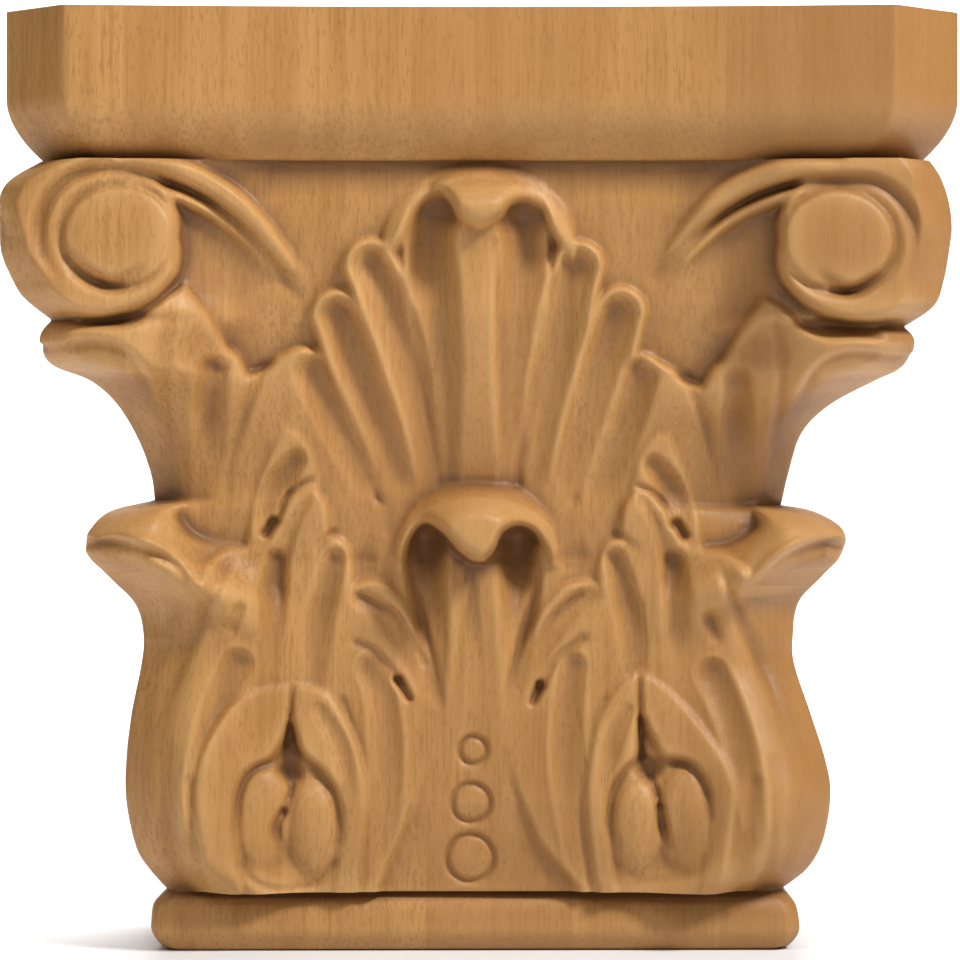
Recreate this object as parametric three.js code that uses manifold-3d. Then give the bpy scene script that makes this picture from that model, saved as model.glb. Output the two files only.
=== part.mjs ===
// A carved wooden pilaster capital, one solid, in millimetres with +Z up and the front towards -Y.
// The back is the flat plane at y = +DEPTH / 2; every height of the relief is measured forward from it.
import * as THREE from "three";
import { mergeVertices } from "three/addons/utils/BufferGeometryUtils.js";
import Module from "manifold-3d";

const wasm = await Module();
wasm.setup();

const WIDTH = 228.6;
const HEIGHT = 228.6;
const DEPTH = 101.6;

// The front is set out on a squared drawing: columns run from the left edge, rows down from the top.
const SQUARES = 95;
const SQUARE = WIDTH / SQUARES;
const AXIS = 48;
const RETURN = WIDTH / 2 - DEPTH;

// Rows where one member of the capital meets the next.
const NECK_ROW = 15.5;
const BEAD_ROW = 89.1;
const BEAD_FROM = 16;
const BEAD_TO = 80;

const ABACUS = {
  half: { left: 47.4, right: 47.9 },
  hollow: 4.5,
  hollowReach: 41,
  ovolo: 8.7,
  ovoloRow: 9,
  cant: { left: 15, right: 17.7 },
};

function smooth(x, from, to) {
  const t = Math.min(1, Math.max(0, (x - from) / (to - from)));
  return t * t * (3 - 2 * t);
}

function mix(a, b, share) {
  return a + (b - a) * share;
}

// A value read off a table of [row, value] steps.
function along(steps, row) {
  if (row <= steps[0][0]) return steps[0][1];
  for (let i = 1; i < steps.length; i++) {
    const [r0, v0] = steps[i - 1];
    const [r1, v1] = steps[i];
    if (row <= r1) return mix(v0, v1, (row - r0) / (r1 - r0));
  }
  return steps[steps.length - 1][1];
}

// A value spread evenly along a path, share 0 at its root and 1 at its tip.
function spread(values, share) {
  const place = share * (values.length - 1);
  const i = Math.min(values.length - 2, Math.floor(place));
  return values.length === 1 ? values[0] : mix(values[i], values[i + 1], place - i);
}

const CURVE_STEPS = 7;

// A smooth curve through the given points.
function curveThrough(points) {
  const at = (i) => points[Math.min(points.length - 1, Math.max(0, i))];
  const made = [];
  for (let i = 0; i < points.length - 1; i++) {
    const [a, b, c, d] = [at(i - 1), at(i), at(i + 1), at(i + 2)];
    for (let k = 0; k < CURVE_STEPS; k++) {
      const t = k / CURVE_STEPS;
      made.push([0, 1].map((n) => 0.5 * (2 * b[n] + (c[n] - a[n]) * t
        + (2 * a[n] - 5 * b[n] + 4 * c[n] - d[n]) * t * t
        + (3 * b[n] - a[n] - 3 * c[n] + d[n]) * t * t * t)));
    }
  }
  made.push(points[points.length - 1]);
  return made;
}

// The corner outline of each side as the front shows it, one smooth curve for each member.
const OUTLINE = {
  left: [
    [[4.2, 15.5], [1.4, 17.4], [0.3, 19], [-0.1, 21], [0.2, 24.6], [1, 27], [2.3, 29.4], [5, 31.7]],
    [[5, 31.7], [4.1, 33], [4, 34.4], [4.4, 35.6], [5.6, 36.6], [8.6, 37.8], [11.2, 40.2], [13.3, 43.8],
      [14.6, 47.4], [15, 50]],
    [[15, 50], [11, 51], [9.1, 52.8], [8.5, 54.6], [8.9, 55.8], [11.1, 58.2], [13.2, 60.6], [14, 63.6],
      [13.8, 66.6], [12.9, 71.4], [12.4, 76], [12.4, 80], [13.3, 84.6], [14.6, 87], [16.3, 89.1]],
    [[16.3, 89.1], [15.1, 90.2], [14.8, 92], [14.9, 93.2], [15.8, 94.6], [16.5, 95]],
  ],
  right: [
    [[92.8, 15.5], [93.9, 17.2], [94.7, 19.4], [95.1, 22.2], [94.9, 24.6], [94.3, 28], [93.3, 30.4],
      [90.6, 32.4]],
    [[90.6, 32.4], [91.4, 33.4], [91.5, 34.4], [91.1, 35.6], [90, 36.8], [87.9, 37.8], [83.6, 40.2],
      [80.9, 43], [79.6, 46.8], [78.7, 50.5]],
    [[78.7, 50.5], [81.5, 51], [84, 52.4], [84.8, 54], [84.3, 55.8], [82.6, 57.8], [80.4, 60.4],
      [79.8, 63.6], [79.9, 66.6], [81.4, 71.4], [82.8, 76], [83.3, 79.5], [82.6, 84], [81.1, 87], [78.7, 89.1]],
    [[78.7, 89.1], [79.9, 90.4], [80.3, 92.2], [80.2, 93.4], [79.4, 94.6], [78.6, 95]],
  ],
};

function outlineRows(curves, sign) {
  const rows = [];
  for (const points of curves)
    for (const [column, row] of curveThrough(points)) {
      const last = rows[rows.length - 1];
      if (!last || row > last[0] + 0.02) rows.push([row, sign * (column - AXIS)]);
    }
  return rows;
}

const OUTLINE_ROWS = { left: outlineRows(OUTLINE.left, -1), right: outlineRows(OUTLINE.right, 1) };

// Half the width at a row, in squares from the axis, at the outermost corner.
function halfWidth(side, row) {
  if (row >= NECK_ROW) return along(OUTLINE_ROWS[side], row);
  const drop = Math.max(0, (row - ABACUS.ovoloRow) / (NECK_ROW - ABACUS.ovoloRow));
  return ABACUS.half[side] - (ABACUS.ovolo / SQUARE) * drop * drop;
}

// How far the corner cuts into the front and the side, in millimetres.
const CANT = [[15.6, 5], [19, 10], [23.5, 12], [28, 11], [31, 7], [34, 7], [36.5, 11], [41, 7], [50, 5],
  [53.4, 6], [57, 10], [60, 8], [64, 5], [78, 5.5], [88, 5], [89.1, 3], [95, 3]];

// The bell behind the leaves, and how near to the corner it starts to swing forward.
const BELL = [[15.5, 86.5], [20, 86], [30, 81.5], [40, 74], [48, 67.5], [56, 64], [70, 63.5],
  [80, 64], [89.1, 61.5]];
const SWING_FROM = [[15.5, 23], [30, 22], [33, 21], [40, 17], [95, 16]];
const SWING_TO = [[15.5, 12], [30, 11], [34, 8], [40, 6], [95, 6]];
const FRONT_FACE = 98;
const SIDE_FACE = 103;
const SCROLL_PROUD = 5;
const SCROLL_FOOT = [31, 33.5];
const DROOP = 4;
const DROOP_SPAN = [4, 13];
const DROOP_ROWS = [49, 51];
const HOLLOW_ROWS = [20, 45];

function baseHeight(side, out, row, face) {
  const half = halfWidth(side, row);
  const behind = face - SCROLL_PROUD * (1 - smooth(row, ...SCROLL_FOOT));
  const droop = DROOP * smooth(half - out, ...DROOP_SPAN) * smooth(row, ...DROOP_ROWS);
  const corner = Math.min(behind, halfWidth(side, row - droop) * SQUARE - RETURN);
  const bell = along(BELL, row) + ABACUS.hollow * (out / AXIS) ** 2 * (1 - smooth(row, ...HOLLOW_ROWS));
  return mix(bell, corner, smooth(out, half - along(SWING_FROM, row), half - along(SWING_TO, row)));
}

// Nearest place on a path: distance, share of the length, and which side of it the point lies on.
function measured(points) {
  const path = curveThrough(points);
  const run = [0];
  for (let i = 1; i < path.length; i++)
    run.push(run[i - 1] + Math.hypot(path[i][0] - path[i - 1][0], path[i][1] - path[i - 1][1]));
  return { path, run, total: run[run.length - 1] };
}

function nearest({ path, run, total }, column, row) {
  let best = { distance: Infinity, share: 0, across: 0 };
  for (let i = 0; i < path.length - 1; i++) {
    const [px, py] = path[i];
    const dx = path[i + 1][0] - px;
    const dy = path[i + 1][1] - py;
    const length = run[i + 1] - run[i];
    if (length < 1e-9) continue;
    const t = Math.min(1, Math.max(0, ((column - px) * dx + (row - py) * dy) / (length * length)));
    const ex = column - px - t * dx;
    const ey = row - py - t * dy;
    const distance = Math.hypot(ex, ey);
    if (distance < best.distance)
      best = { distance, share: (run[i] + t * length) / total, across: (dx * ey - dy * ex) / length };
  }
  return best;
}

// Each cut of the carving is one entry: the paths run from the root to the tip,
// left leaf first, then its partner.
const carving = {};
let cuts = [];

// The entries that follow belong to this stage of the work.
function stage(name) {
  cuts = [];
  carving[name] = cuts;
}

const WALL = 0.45;
const LOBE_WALL = 0.8;
const ROOT_SHARE = 0.18;
const ROUNDED_FROM = 0.75;
const ROUNDED_BY = 0.4;
const FLUTE_SHARE = 0.9;
const HEAD_TURN = 2.2;
const HEAD_TURN_ROWS = 1.6;
const HEAD_SPREAD = 0.55;
const HEAD_FULLNESS = 0.8;
const SHEET_WALL = 0.28;
const LIP_WALL = 0.55;
const LEAF_WALL = 0.7;
const LEDGE_EDGE = 0.2;
const LEDGE_HOLLOW = 1.25;
const CORNER_FADE = [1, 7];

function addCut(kind, points, widths, more) {
  const line = measured(points);
  const reach = Math.max(...widths) + LOBE_WALL;
  const columns = line.path.map((p) => p[0]);
  const rows = line.path.map((p) => p[1]);
  const middle = columns.reduce((a, b) => a + b) / columns.length;
  cuts.push({
    kind, line, widths, ...more,
    inner: middle < AXIS ? 1 : -1,
    box: [Math.min(...columns) - reach, Math.min(...rows) - reach, Math.max(...columns) + reach,
      Math.max(...rows) + reach],
  });
}

// A raised lobe with a flute down it: lift and flute in millimetres from root to tip.
function lobe(lift, flute, skew, widths, left, right) {
  for (const points of [left, right])
    if (points) {
      addCut("body", points, widths, { lift });
      addCut("flute", points, widths, { flute, skew });
    }
}

// A broad, nearly level leaf body that the lobes grow from.
function sheet(lift, widths, left, right) {
  for (const points of [left, right]) if (points) addCut("sheet", points, widths, { lift });
}

// A round-bottomed cut.
function gouge(depth, widths, left, right) {
  for (const points of [left, right]) if (points) addCut("gouge", points, widths, { depth });
}

// A sharp knife line.
function crease(depth, widths, left, right) {
  for (const points of [left, right]) if (points) addCut("crease", points, widths, { depth });
}

// A hollow that deepens up to a sharp edge: toward 1 lies on the axis side of its path,
// -1 on the outer side.
function ledge(depth, widths, toward, left, right) {
  for (const points of [left, right]) if (points) addCut("ledge", points, widths, { depth, toward });
}

// A level leaf body inside an outline, its lift given as [row, millimetres] steps.
function leaf(lift, ...outlines) {
  for (const points of outlines) addCut("leaf", [...points, points[0]], [LEAF_WALL], { lift });
}

const LEAF_AXIS = 47.5;

// A path and its partner on the other side of the leaves' axis, set lower by some rows.
function both(points, down = 0) {
  return [points, points.map(([x, y]) => [2 * LEAF_AXIS - x, y + down])];
}

// A low rounded swelling.
function dome(lift, centre, radii, fall) {
  cuts.push({
    kind: "dome", lift, centre, radii, fall,
    box: [centre[0] - radii[0], centre[1] - radii[1], centre[0] + radii[0], centre[1] + radii[1]],
  });
}

// A turned-over leaf tip: a rounded head that ends in a lip, hanging over the hollows below it.
function head(centre, radii, edge, crown, lip) {
  cuts.push({
    kind: "head", centre, radii, edge, crown, lip: curveThrough(lip),
    box: [centre[0] - radii[0], centre[1] - radii[1], centre[0] + radii[0], centre[1] + radii[1]],
  });
}

// Whether a place lies inside a closed outline.
function isInside({ path }, column, row) {
  let odd = false;
  for (let i = 0; i < path.length - 1; i++) {
    const [x0, y0] = path[i];
    const [x1, y1] = path[i + 1];
    if (y0 > row !== y1 > row && column < x0 + ((row - y0) * (x1 - x0)) / (y1 - y0)) odd = !odd;
  }
  return odd;
}

function carveLeaf(cut, height, base, column, row) {
  const { distance } = nearest(cut.line, column, row);
  const within = isInside(cut.line, column, row) ? distance : -distance;
  const half = halfWidth(column < AXIS ? "left" : "right", row);
  const body = base + along(cut.lift, row) * smooth(half - Math.abs(column - AXIS), ...CORNER_FADE);
  return mix(height, Math.max(height, body), smooth(within, -LEAF_WALL / 2, LEAF_WALL / 2));
}

function carve(cut, height, base, column, row) {
  const [left, top, right, bottom] = cut.box;
  if (column < left || column > right || row < top || row > bottom) return height;
  if (cut.kind === "dome" || cut.kind === "head") {
    const near = Math.hypot((column - cut.centre[0]) / cut.radii[0], (row - cut.centre[1]) / cut.radii[1]);
    if (near >= 1) return height;
    const round = Math.sqrt(1 - near * near);
    if (cut.kind === "dome") return Math.max(height, base + cut.lift - cut.fall * (1 - round));
    const over = along(cut.lip, column) - row;
    const full = cut.edge + (cut.crown - cut.edge) * smooth(1 - near, 0, HEAD_SPREAD) ** HEAD_FULLNESS;
    const turned = full - HEAD_TURN * Math.max(0, 1 - over / HEAD_TURN_ROWS) ** 2;
    return mix(height, Math.max(height, turned), smooth(over, -LIP_WALL, 0));
  }
  if (cut.kind === "leaf") return carveLeaf(cut, height, base, column, row);
  const found = nearest(cut.line, column, row);
  const width = spread(cut.widths, found.share);
  const q = found.distance / width;
  if (found.distance >= width + LOBE_WALL / 2) return height;
  if (q >= 1 && cut.kind !== "body") return height;
  if (cut.kind === "sheet") {
    const body = base + spread(cut.lift, found.share);
    return mix(height, Math.max(height, body), smooth(1 - q, 0, SHEET_WALL));
  }
  if (cut.kind === "gouge") return height - spread(cut.depth, found.share) * (1 - q * q);
  if (cut.kind === "ledge") {
    const on = Math.min(1, Math.max(0, (found.across * cut.inner * cut.toward) / LEDGE_EDGE));
    return height - spread(cut.depth, found.share) * on * (1 - q) ** LEDGE_HOLLOW;
  }
  if (cut.kind === "crease") return height - spread(cut.depth, found.share) * (1 - q);
  if (cut.kind === "body") {
    const rounded = ROUNDED_BY * Math.max(0, (q - ROUNDED_FROM) / (1 - ROUNDED_FROM)) ** 2;
    const lift = spread(cut.lift, found.share) - rounded;
    const raised = base + lift * smooth(width - found.distance, -LOBE_WALL / 2, LOBE_WALL / 2);
    return mix(height, Math.max(height, raised), smooth(found.share, 0, ROOT_SHARE));
  }
  const place = (found.across * cut.inner) / width;
  const past = Math.sqrt(Math.max(0, q * q - place * place)) / FLUTE_SHARE;
  const slope = (place - cut.skew) / (FLUTE_SHARE + (place < cut.skew ? cut.skew : -cut.skew));
  const hollow = Math.max(0, 1 - slope * slope - past * past);
  return height - spread(cut.flute, found.share) * hollow * smooth(found.share, 0, ROOT_SHARE);
}

const RAISED = ["body", "sheet", "leaf"];

// The bodies of a stage are raised first, then each cut is worked into them.
function carveStage(name, height, base, column, row) {
  const isRaised = (cut) => RAISED.includes(cut.kind);
  for (const cut of carving[name]) if (isRaised(cut)) height = carve(cut, height, base, column, row);
  for (const cut of carving[name]) if (!isRaised(cut)) height = carve(cut, height, base, column, row);
  return height;
}

stage("upper corner leaves");

// Under the volutes: the leaf, the hollow under its lip, its veins and flutes, and the small leaf before it.
leaf([[28, 2.6], [36, 4.4], [48, 5.4], [56, 5.4]], ...both([[6, 57], [6, 48], [4, 38], [3, 34.2], [8, 32.6],
  [13, 32.4], [15.6, 30.8], [16.9, 29.4], [18.6, 28.4], [18.6, 28.4], [19.9, 30.1], [21.6, 32.7],
  [22.6, 34.5], [23.6, 35.3], [24.7, 37.3], [24.7, 37.3], [26.8, 36.5], [28, 35.3], [31.3, 35], [35, 43],
  [38, 52], [38, 57]], 1.2));
ledge([1.5, 3.4, 4.4, 4.4, 3.4], [2.4, 4.5, 6.5, 7, 6], -1, ...both([[15.8, 39.4], [14.6, 36], [13.2, 34.6],
  [11.6, 33.8], [9.6, 33.5], [7.2, 33.8], [5.2, 34.9]], 1));
ledge([0.4, 1.4, 2.4, 1.6], [1.6, 2.6, 2.6, 0.8], -1, ...both([[17.9, 49], [17.7, 41], [17.6, 34.5],
  [18.1, 29.9]], 1.6));
gouge([0.3, 1.4, 2.8, 3.4], [1.2, 1.7, 1.9, 1.7], ...both([[20.3, 51], [20.8, 45], [21.1, 39.4],
  [21.2, 37]], 1.2));
ledge([0.3, 1.6, 3, 2.4], [1.2, 1.8, 2.2, 1.6], -1, ...both([[22.8, 52.4], [23.3, 47.2], [25, 41.4],
  [26.6, 37.1]], 1));

stage("small leaves");

leaf([[42, 5.8], [48, 7.2], [56, 7.4]], ...both([[24.4, 56], [25.4, 50], [26.6, 46], [28.2, 42.8],
  [28.2, 42.8], [29.6, 43.1], [31, 45], [31.7, 48], [32, 52], [32, 56]], 0.6));
gouge([0.6, 2.4, 3, 2.4], [0.9, 1.5, 1.7, 1.2], ...both([[26, 53.4], [27, 49.8], [28.8, 46.8],
  [29.6, 45.8]], 0.6));

stage("fan");

// The fan of the upper leaf: the flutes meet in soft ridges, with no ground between them.
sheet([6, 6, 4.6], [11, 12, 8], [[47.8, 56], [47.8, 44], [47.8, 36]]);
lobe([6, 5.4, 4.6, 3.4], [0.6, 2, 3, 3.6], 0.2, [1.9, 2, 2.2, 2.2], [[37.6, 51], [34.7, 44.4], [32.5, 40],
  [31, 36.9]], [[59, 51.5], [61.6, 45], [63, 41], [64.2, 37.3]]);
lobe([6.4, 6, 5.6, 5, 3.8], [0.6, 2.4, 3.8, 4.6, 4.6], 0.2, [1.8, 2.4, 2.8, 2.9, 2.5], [[40.4, 51],
  [38.1, 43.4], [36.2, 38.5], [34.6, 33.8], [33.5, 31.2]], [[56.4, 51], [58.9, 41.4], [60.3, 37],
  [61.2, 34], [62.1, 30.9]]);
lobe([6.8, 6.6, 6.2, 5.6, 4], [0.6, 2.4, 3.8, 4.6, 4.6], 0.2, [1.4, 1.8, 2.6, 3, 2.6], [[43, 51],
  [42, 43], [40.1, 34.6], [38, 28.6], [36.9, 26.1]], [[53.2, 51], [54.9, 39.5], [55.9, 34.5], [57, 29],
  [57.8, 26.3]]);
lobe([7, 7.4, 7.4, 7, 5], [0], 0, [3.6, 4.2, 5.8, 7.6, 7.4], [[47.8, 52], [47.8, 40], [47.7, 31],
  [47.6, 26], [47.6, 24]]);
gouge([1, 2.4, 3.8, 5.2, 8], [1, 1.7, 2.5, 3, 3], [[44.9, 51], [44.1, 38], [43.3, 30], [42.7, 24],
  [43.2, 21]], [[51.3, 51], [51.6, 38.5], [52, 32.6], [52.8, 25], [52.6, 21.6]]);
head([47.9, 24.5], [9.7, 8.9], 87, 97.5, [[38.3, 26], [40, 23.6], [41.4, 20.4], [43.5, 18.4], [45, 19.4],
  [46, 21.2], [48, 22.2], [50, 21.1], [51, 19.8], [52.5, 19.2], [54.2, 20.2], [55.2, 22.6], [57.4, 26]]);
crease([0.8, 1.4], [0.5], [[50.2, 49], [50.2, 36], [49.5, 23.6]]);

stage("lower leaves");

// The leaf body of each side, the hollow under its corner lip, then its lobes from the outer ones to the inner.
sheet([2.5, 4.6, 5.6, 6], [12, 8.6, 7, 7.4], [[47.4, 96], [47.4, 80], [47.4, 70], [47.6, 58]]);
leaf([[48, 8.2], [56, 8], [64, 7.4], [80, 7], [96, 6.6]], ...both([[12, 96], [8, 84], [8, 70], [10, 60],
  [7, 56], [7.4, 53.6], [12.6, 53], [17.4, 54.6], [20.2, 57.6], [20.2, 57.6], [20.9, 56.4], [22.6, 54.9],
  [24.8, 54.8], [26.4, 54.6], [27.2, 53], [28.6, 50.6], [30.2, 49.2], [31.5, 49.1], [32.7, 50.6],
  [33.1, 53.6], [33.1, 53.6], [34.4, 54.2], [35.1, 56], [35.2, 58.6], [35.2, 58.6], [37, 58],
  [39.2, 58.8], [41.6, 62.6], [43.6, 67], [45, 74], [45, 96]], 0.2));
ledge([2, 4, 5, 5, 4], [2.4, 5, 7, 8, 7.5], -1, ...both([[20.3, 58.8], [19, 56.6], [17.4, 55.2],
  [15.4, 54.2], [12.6, 53.5], [10.2, 53.4], [8.6, 54]]));
ledge([0.3, 1.8, 3, 3], [1.4, 2.2, 2.6, 2.2], -1, ...both([[16, 73.6], [19, 66.6], [21.5, 61.4],
  [23.1, 57.2]], 1.2));
gouge([1.2, 2], [0.7, 0.8], ...both([[23.3, 62.8], [24.1, 60.8]], 1));
ledge([0.3, 1.8, 2.8, 2.4], [1.2, 2, 2.2, 1.4], -1, ...both([[28.9, 66], [28.9, 58], [29.7, 53.4],
  [31.2, 50.2]]));
gouge([0.3, 2.2, 2.4], [1, 1.5, 1.2], ...both([[27.3, 66], [27.2, 60], [27.5, 56]]));
gouge([0.4, 1.6, 2.8, 2.4], [1, 1.5, 1.6, 1.2], ...both([[31.4, 70], [31.8, 63], [32.9, 58],
  [33.6, 55.8]]));
crease([1, 1.8], [0.5], ...both([[31.6, 54.8], [33.2, 53.2]]));

stage("inner lobes");

lobe([7.6, 8.2, 8.4, 8.4], [0.3, 1.2, 2.6, 3], 0, [1.6, 2, 2.3, 2.3], ...both([[19.4, 84], [20.4, 76],
  [22.2, 70], [23.8, 66.4]], 1));
lobe([7, 8, 8.6, 8.4], [0.4, 1.4, 2.8, 3], 0.1, [1.6, 2.1, 2.4, 2], [[38, 90], [38.6, 78], [38.2, 70.4],
  [36.9, 66.8]], [[58.4, 90], [56.8, 78], [56.8, 71.4], [57.3, 66.6]]);
lobe([6, 7, 8, 7.6], [0.4, 1.2, 2, 1.6], -0.2, [1, 1.7, 2, 1.5], [[43.4, 70.6], [41.4, 66], [38.6, 61.8],
  [36.4, 59.8]], [[52, 70.6], [53.4, 66], [56, 61.6], [58.8, 59.4]]);
crease([0.8, 2, 1.6], [0.5], [[42.4, 66.4], [39.8, 61.6], [37.6, 60.5], [35.8, 59.6]], [[53.6, 64.4],
  [55.4, 61.6], [58.2, 59.4]]);
crease([1, 2.4, 1.6], [0.6], [[40, 68.4], [37.6, 65.3], [35.5, 64.3]], [[53.4, 70], [55.4, 66.2],
  [58.4, 63.8]]);
gouge([0.6, 1.4, 2, 1], [0.8, 1, 1, 0.6], ...both([[35.4, 90], [36, 82], [35.6, 76], [34.2, 70]]));
gouge([0.8, 1.4, 1], [1.2, 1.4, 1], [[22.4, 90], [20.6, 84], [19.2, 78]], [[73.4, 90], [74.8, 84],
  [75.4, 78]]);
gouge([0.6, 1, 0.5], [1.2], [[18.8, 90], [16.8, 82], [17, 75]], [[76.4, 90], [76.8, 82], [77.4, 76]]);

stage("buds");

// The paired buds in their sheath: the two leaves of the sheath, the body they close on, and the buds.
leaf([[68, 8.4], [76, 9.4], [90, 8]], [[21.4, 92], [19.8, 82], [20, 76.4], [21.7, 72.4], [24.4, 69.4],
  [29.1, 68.4], [29.1, 68.4], [29, 71.8], [28.1, 74.5], [26.9, 76], [25.2, 76.9], [24, 78.8], [23.7, 82],
  [24.2, 92]], [[64, 67.2], [66.4, 68.6], [69.6, 71.8], [72.8, 76.6], [73.3, 81], [71.4, 92], [69.6, 92],
  [70.9, 81], [70.4, 78.3], [68.6, 76.2], [66.2, 75.8], [64.6, 75.2], [64.1, 71]]);
leaf([[68, 8.4], [76, 9.4], [90, 8]], [[29.2, 68.4], [32.4, 69.2], [34.8, 72.4], [36.4, 77], [36.6, 82],
  [35, 92], [33, 92], [34, 83], [33.4, 79.2], [31.9, 77], [30, 75], [29.3, 71.8]], [[63.8, 67.2],
  [61.2, 69.4], [59.4, 73], [58.6, 78], [58.8, 83], [60.4, 92], [62, 92], [60.9, 83], [61.2, 79],
  [62.6, 76.8], [63.8, 75.4], [63.9, 71]]);
sheet([6.6, 7.8, 7.2], [4.8, 5, 4.4], [[28.9, 92], [28.9, 86], [28.9, 82]], [[66.2, 92], [66.2, 86],
  [66.2, 82]]);
gouge([3.4, 2.6], [1.7, 0.5], [[28.9, 77], [29, 72.6]], [[64.9, 76.6], [64.2, 72]]);
gouge([0.3, 1.8, 1.2], [0.8, 1.3, 0.8], [[35, 80], [34, 74.6], [32, 71]], [[60.2, 80], [61.2, 74.6],
  [62.8, 71]]);
dome(10.4, [26.5, 81.6], [2.7, 5.2], 3.4);
dome(10.2, [31.2, 82.8], [2.7, 4.8], 3.4);
dome(10.4, [68.4, 81.8], [2.7, 5.2], 3.4);
dome(10.2, [63.7, 82.6], [2.7, 4.8], 3.4);
crease([1.4, 2.4, 1.6, 0.6], [0.6], [[28.6, 73.8], [27.2, 75.9], [25.2, 76.9], [24, 78.8], [23.7, 82.4]],
  [[64.8, 73.4], [66.2, 75.7], [68.8, 76.3], [70.4, 78.3], [70.9, 81.6]]);
crease([1.4, 2.4, 1.6, 0.6], [0.6], [[29.1, 73.4], [29.9, 75.3], [32, 77.1], [33.6, 79.4], [34, 83.4],
  [33.2, 84.4]], [[64.2, 75.6], [62.4, 77], [61.1, 79.2], [60.9, 82], [61.7, 84.4]]);
crease([0.8, 1.6, 0.8], [0.6], [[24.6, 89.4], [24, 86], [25.7, 88], [28.5, 88.8], [31.4, 88.2],
  [33.5, 86]], null);

stage("lower head");

// The lower central leaf and its head.
lobe([7, 8.4, 8.4, 7], [0], 0, [3.4, 3.4, 5, 7], [[47.4, 76], [47.4, 66], [47.5, 60], [47.6, 55.4]]);
gouge([0.5, 2.4, 4.8, 8], [0.9, 1.8, 2.2, 2.4], [[43.8, 70], [43.2, 64], [42.6, 58.4], [42.4, 54]],
  [[51.4, 70], [51.8, 63], [52, 58], [51.8, 54]]);
head([47.7, 55], [8, 7.2], 74, 90, [[39.8, 57.6], [40.8, 54], [42.4, 52], [44.4, 53], [46, 54.8],
  [48, 55.9], [49.4, 54.6], [50.4, 52.8], [52, 52.2], [53.6, 53], [54.8, 55], [55.6, 57.6]]);

// The stem of the lower leaf, which flares to the bead: its two edges and its height, row by row.
const STEM = {
  row: 56,
  left: [[56, 45.6], [64, 45.5], [70, 44.6], [74, 43], [79, 41.5], [83, 40], [88.6, 37.6]],
  right: [[56, 49.3], [62, 49.5], [70, 50], [75, 50.8], [79, 52], [84, 54], [88.6, 58]],
  lift: [[56, 8], [70, 8], [78, 6], [89.1, 4]],
};

function stem(height, base, column, row) {
  if (row < STEM.row || row > BEAD_ROW) return height;
  const inside = Math.min(column - along(STEM.left, row), along(STEM.right, row) - column);
  if (inside <= 0) return height;
  return mix(height, base + along(STEM.lift, row), Math.min(1, inside / WALL));
}

// Three rings cut into the stem, one above the other.
const RINGS = [[47.3, 75, 1.35], [47.1, 80.2, 1.9], [47, 85.7, 2.35]];
const RING_WIDTH = 0.4;
const RING_DEPTH = 1.2;

function rings(height, column, row) {
  for (const [x, y, radius] of RINGS) {
    const off = Math.abs(Math.hypot(column - x, row - y) - radius);
    if (off < RING_WIDTH) return height - RING_DEPTH * (1 - (off / RING_WIDTH) ** 2);
  }
  return height;
}

// The volutes: how far the scroll reaches from its eye, every eighth of a turn from the axis side downwards.
const SCROLL = {
  left: [12.3, 23.4],
  right: [83.4, 23.8],
  reach: [5.9, 7, 8.1, 10.2, 14, 13, 8.2, 6.8, 5.9],
  eye: [5.5, 5],
  eyeRise: 1.4,
  eyeSunk: 0.2,
  channel: 2,
  channelReach: 1.3,
  fall: 1.2,
};

function scroll(height, side, column, row, volute) {
  const [x, y] = SCROLL[side];
  const across = (column - x) * (side === "left" ? 1 : -1);
  const down = row - y;
  const far = Math.hypot(across, down);
  if (far > Math.max(...SCROLL.reach)) return height;
  const turn = (Math.atan2(down, across) / (2 * Math.PI) + 1) % 1;
  const reach = spread(SCROLL.reach, turn);
  if (far >= reach) return height;
  const eye = Math.hypot(across / SCROLL.eye[0], down / SCROLL.eye[1]);
  let face = volute - SCROLL.fall * Math.max(0, far - reach + 1) ** 2;
  if (eye < 1) face += SCROLL.eyeRise * Math.sqrt(1 - eye * eye) - SCROLL.eyeSunk;
  else face -= SCROLL.channel * (1 - smooth(eye, 1, SCROLL.channelReach));
  return mix(height, Math.max(height, face), Math.min(1, (reach - far) / WALL));
}

stage("stems");

// The stem of each volute: its outer band and the finer one inside it.
lobe([1.5, 4, 5.5, 6, 4.5], [0], 0, [0.7, 1, 1.25, 1.2, 1], [[30.4, 28.6], [27.8, 24.8], [23.4, 19.8],
  [18.5, 17], [13, 16.2]], [[65.6, 27.4], [68.4, 23.6], [72.2, 19.4], [77.6, 17], [83.4, 16.5]]);
lobe([1, 3, 4.5, 5, 4], [0], 0, [0.5, 0.6, 0.7, 0.7, 0.5], [[28.8, 28.8], [25.6, 24.4], [21.8, 21],
  [17.6, 19], [13, 18]], [[66.8, 28], [69.8, 24.2], [73.6, 21], [78.2, 19.2], [83, 18.4]]);

stage("scrolls");

// The groove of the scroll, the cut under its eye and the cut under the whole volute.
crease([0.8, 2.6, 3.2, 3.2, 3.2, 2.8, 1], [1.1], [[29.4, 29], [27, 25.8], [24, 22.3], [20.5, 19.5],
  [16.5, 17.6], [12, 16.6], [8, 17.2], [5.6, 19.2], [4.5, 22], [4.7, 24.8], [6, 27.2]], [[65.4, 27.6],
  [68, 24.4], [73, 20.6], [78, 18.3], [82, 17.8], [87, 18], [90, 20.4], [91.2, 24], [90.8, 27]]);
crease([0.8, 3.6, 0.8], [1], [[7.4, 25.6], [9.4, 27.5], [11.8, 28.3], [14.4, 27]], [[81.8, 27.6],
  [83.4, 28.7], [85.2, 28.9], [87.2, 27.6]]);
crease([1, 2, 1.6], [0.8], [[5.6, 30.7], [12, 31.5], [17.4, 28]], [[89.6, 31.4], [83, 32], [78.4, 28.8]]);

stage("finish");

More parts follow.
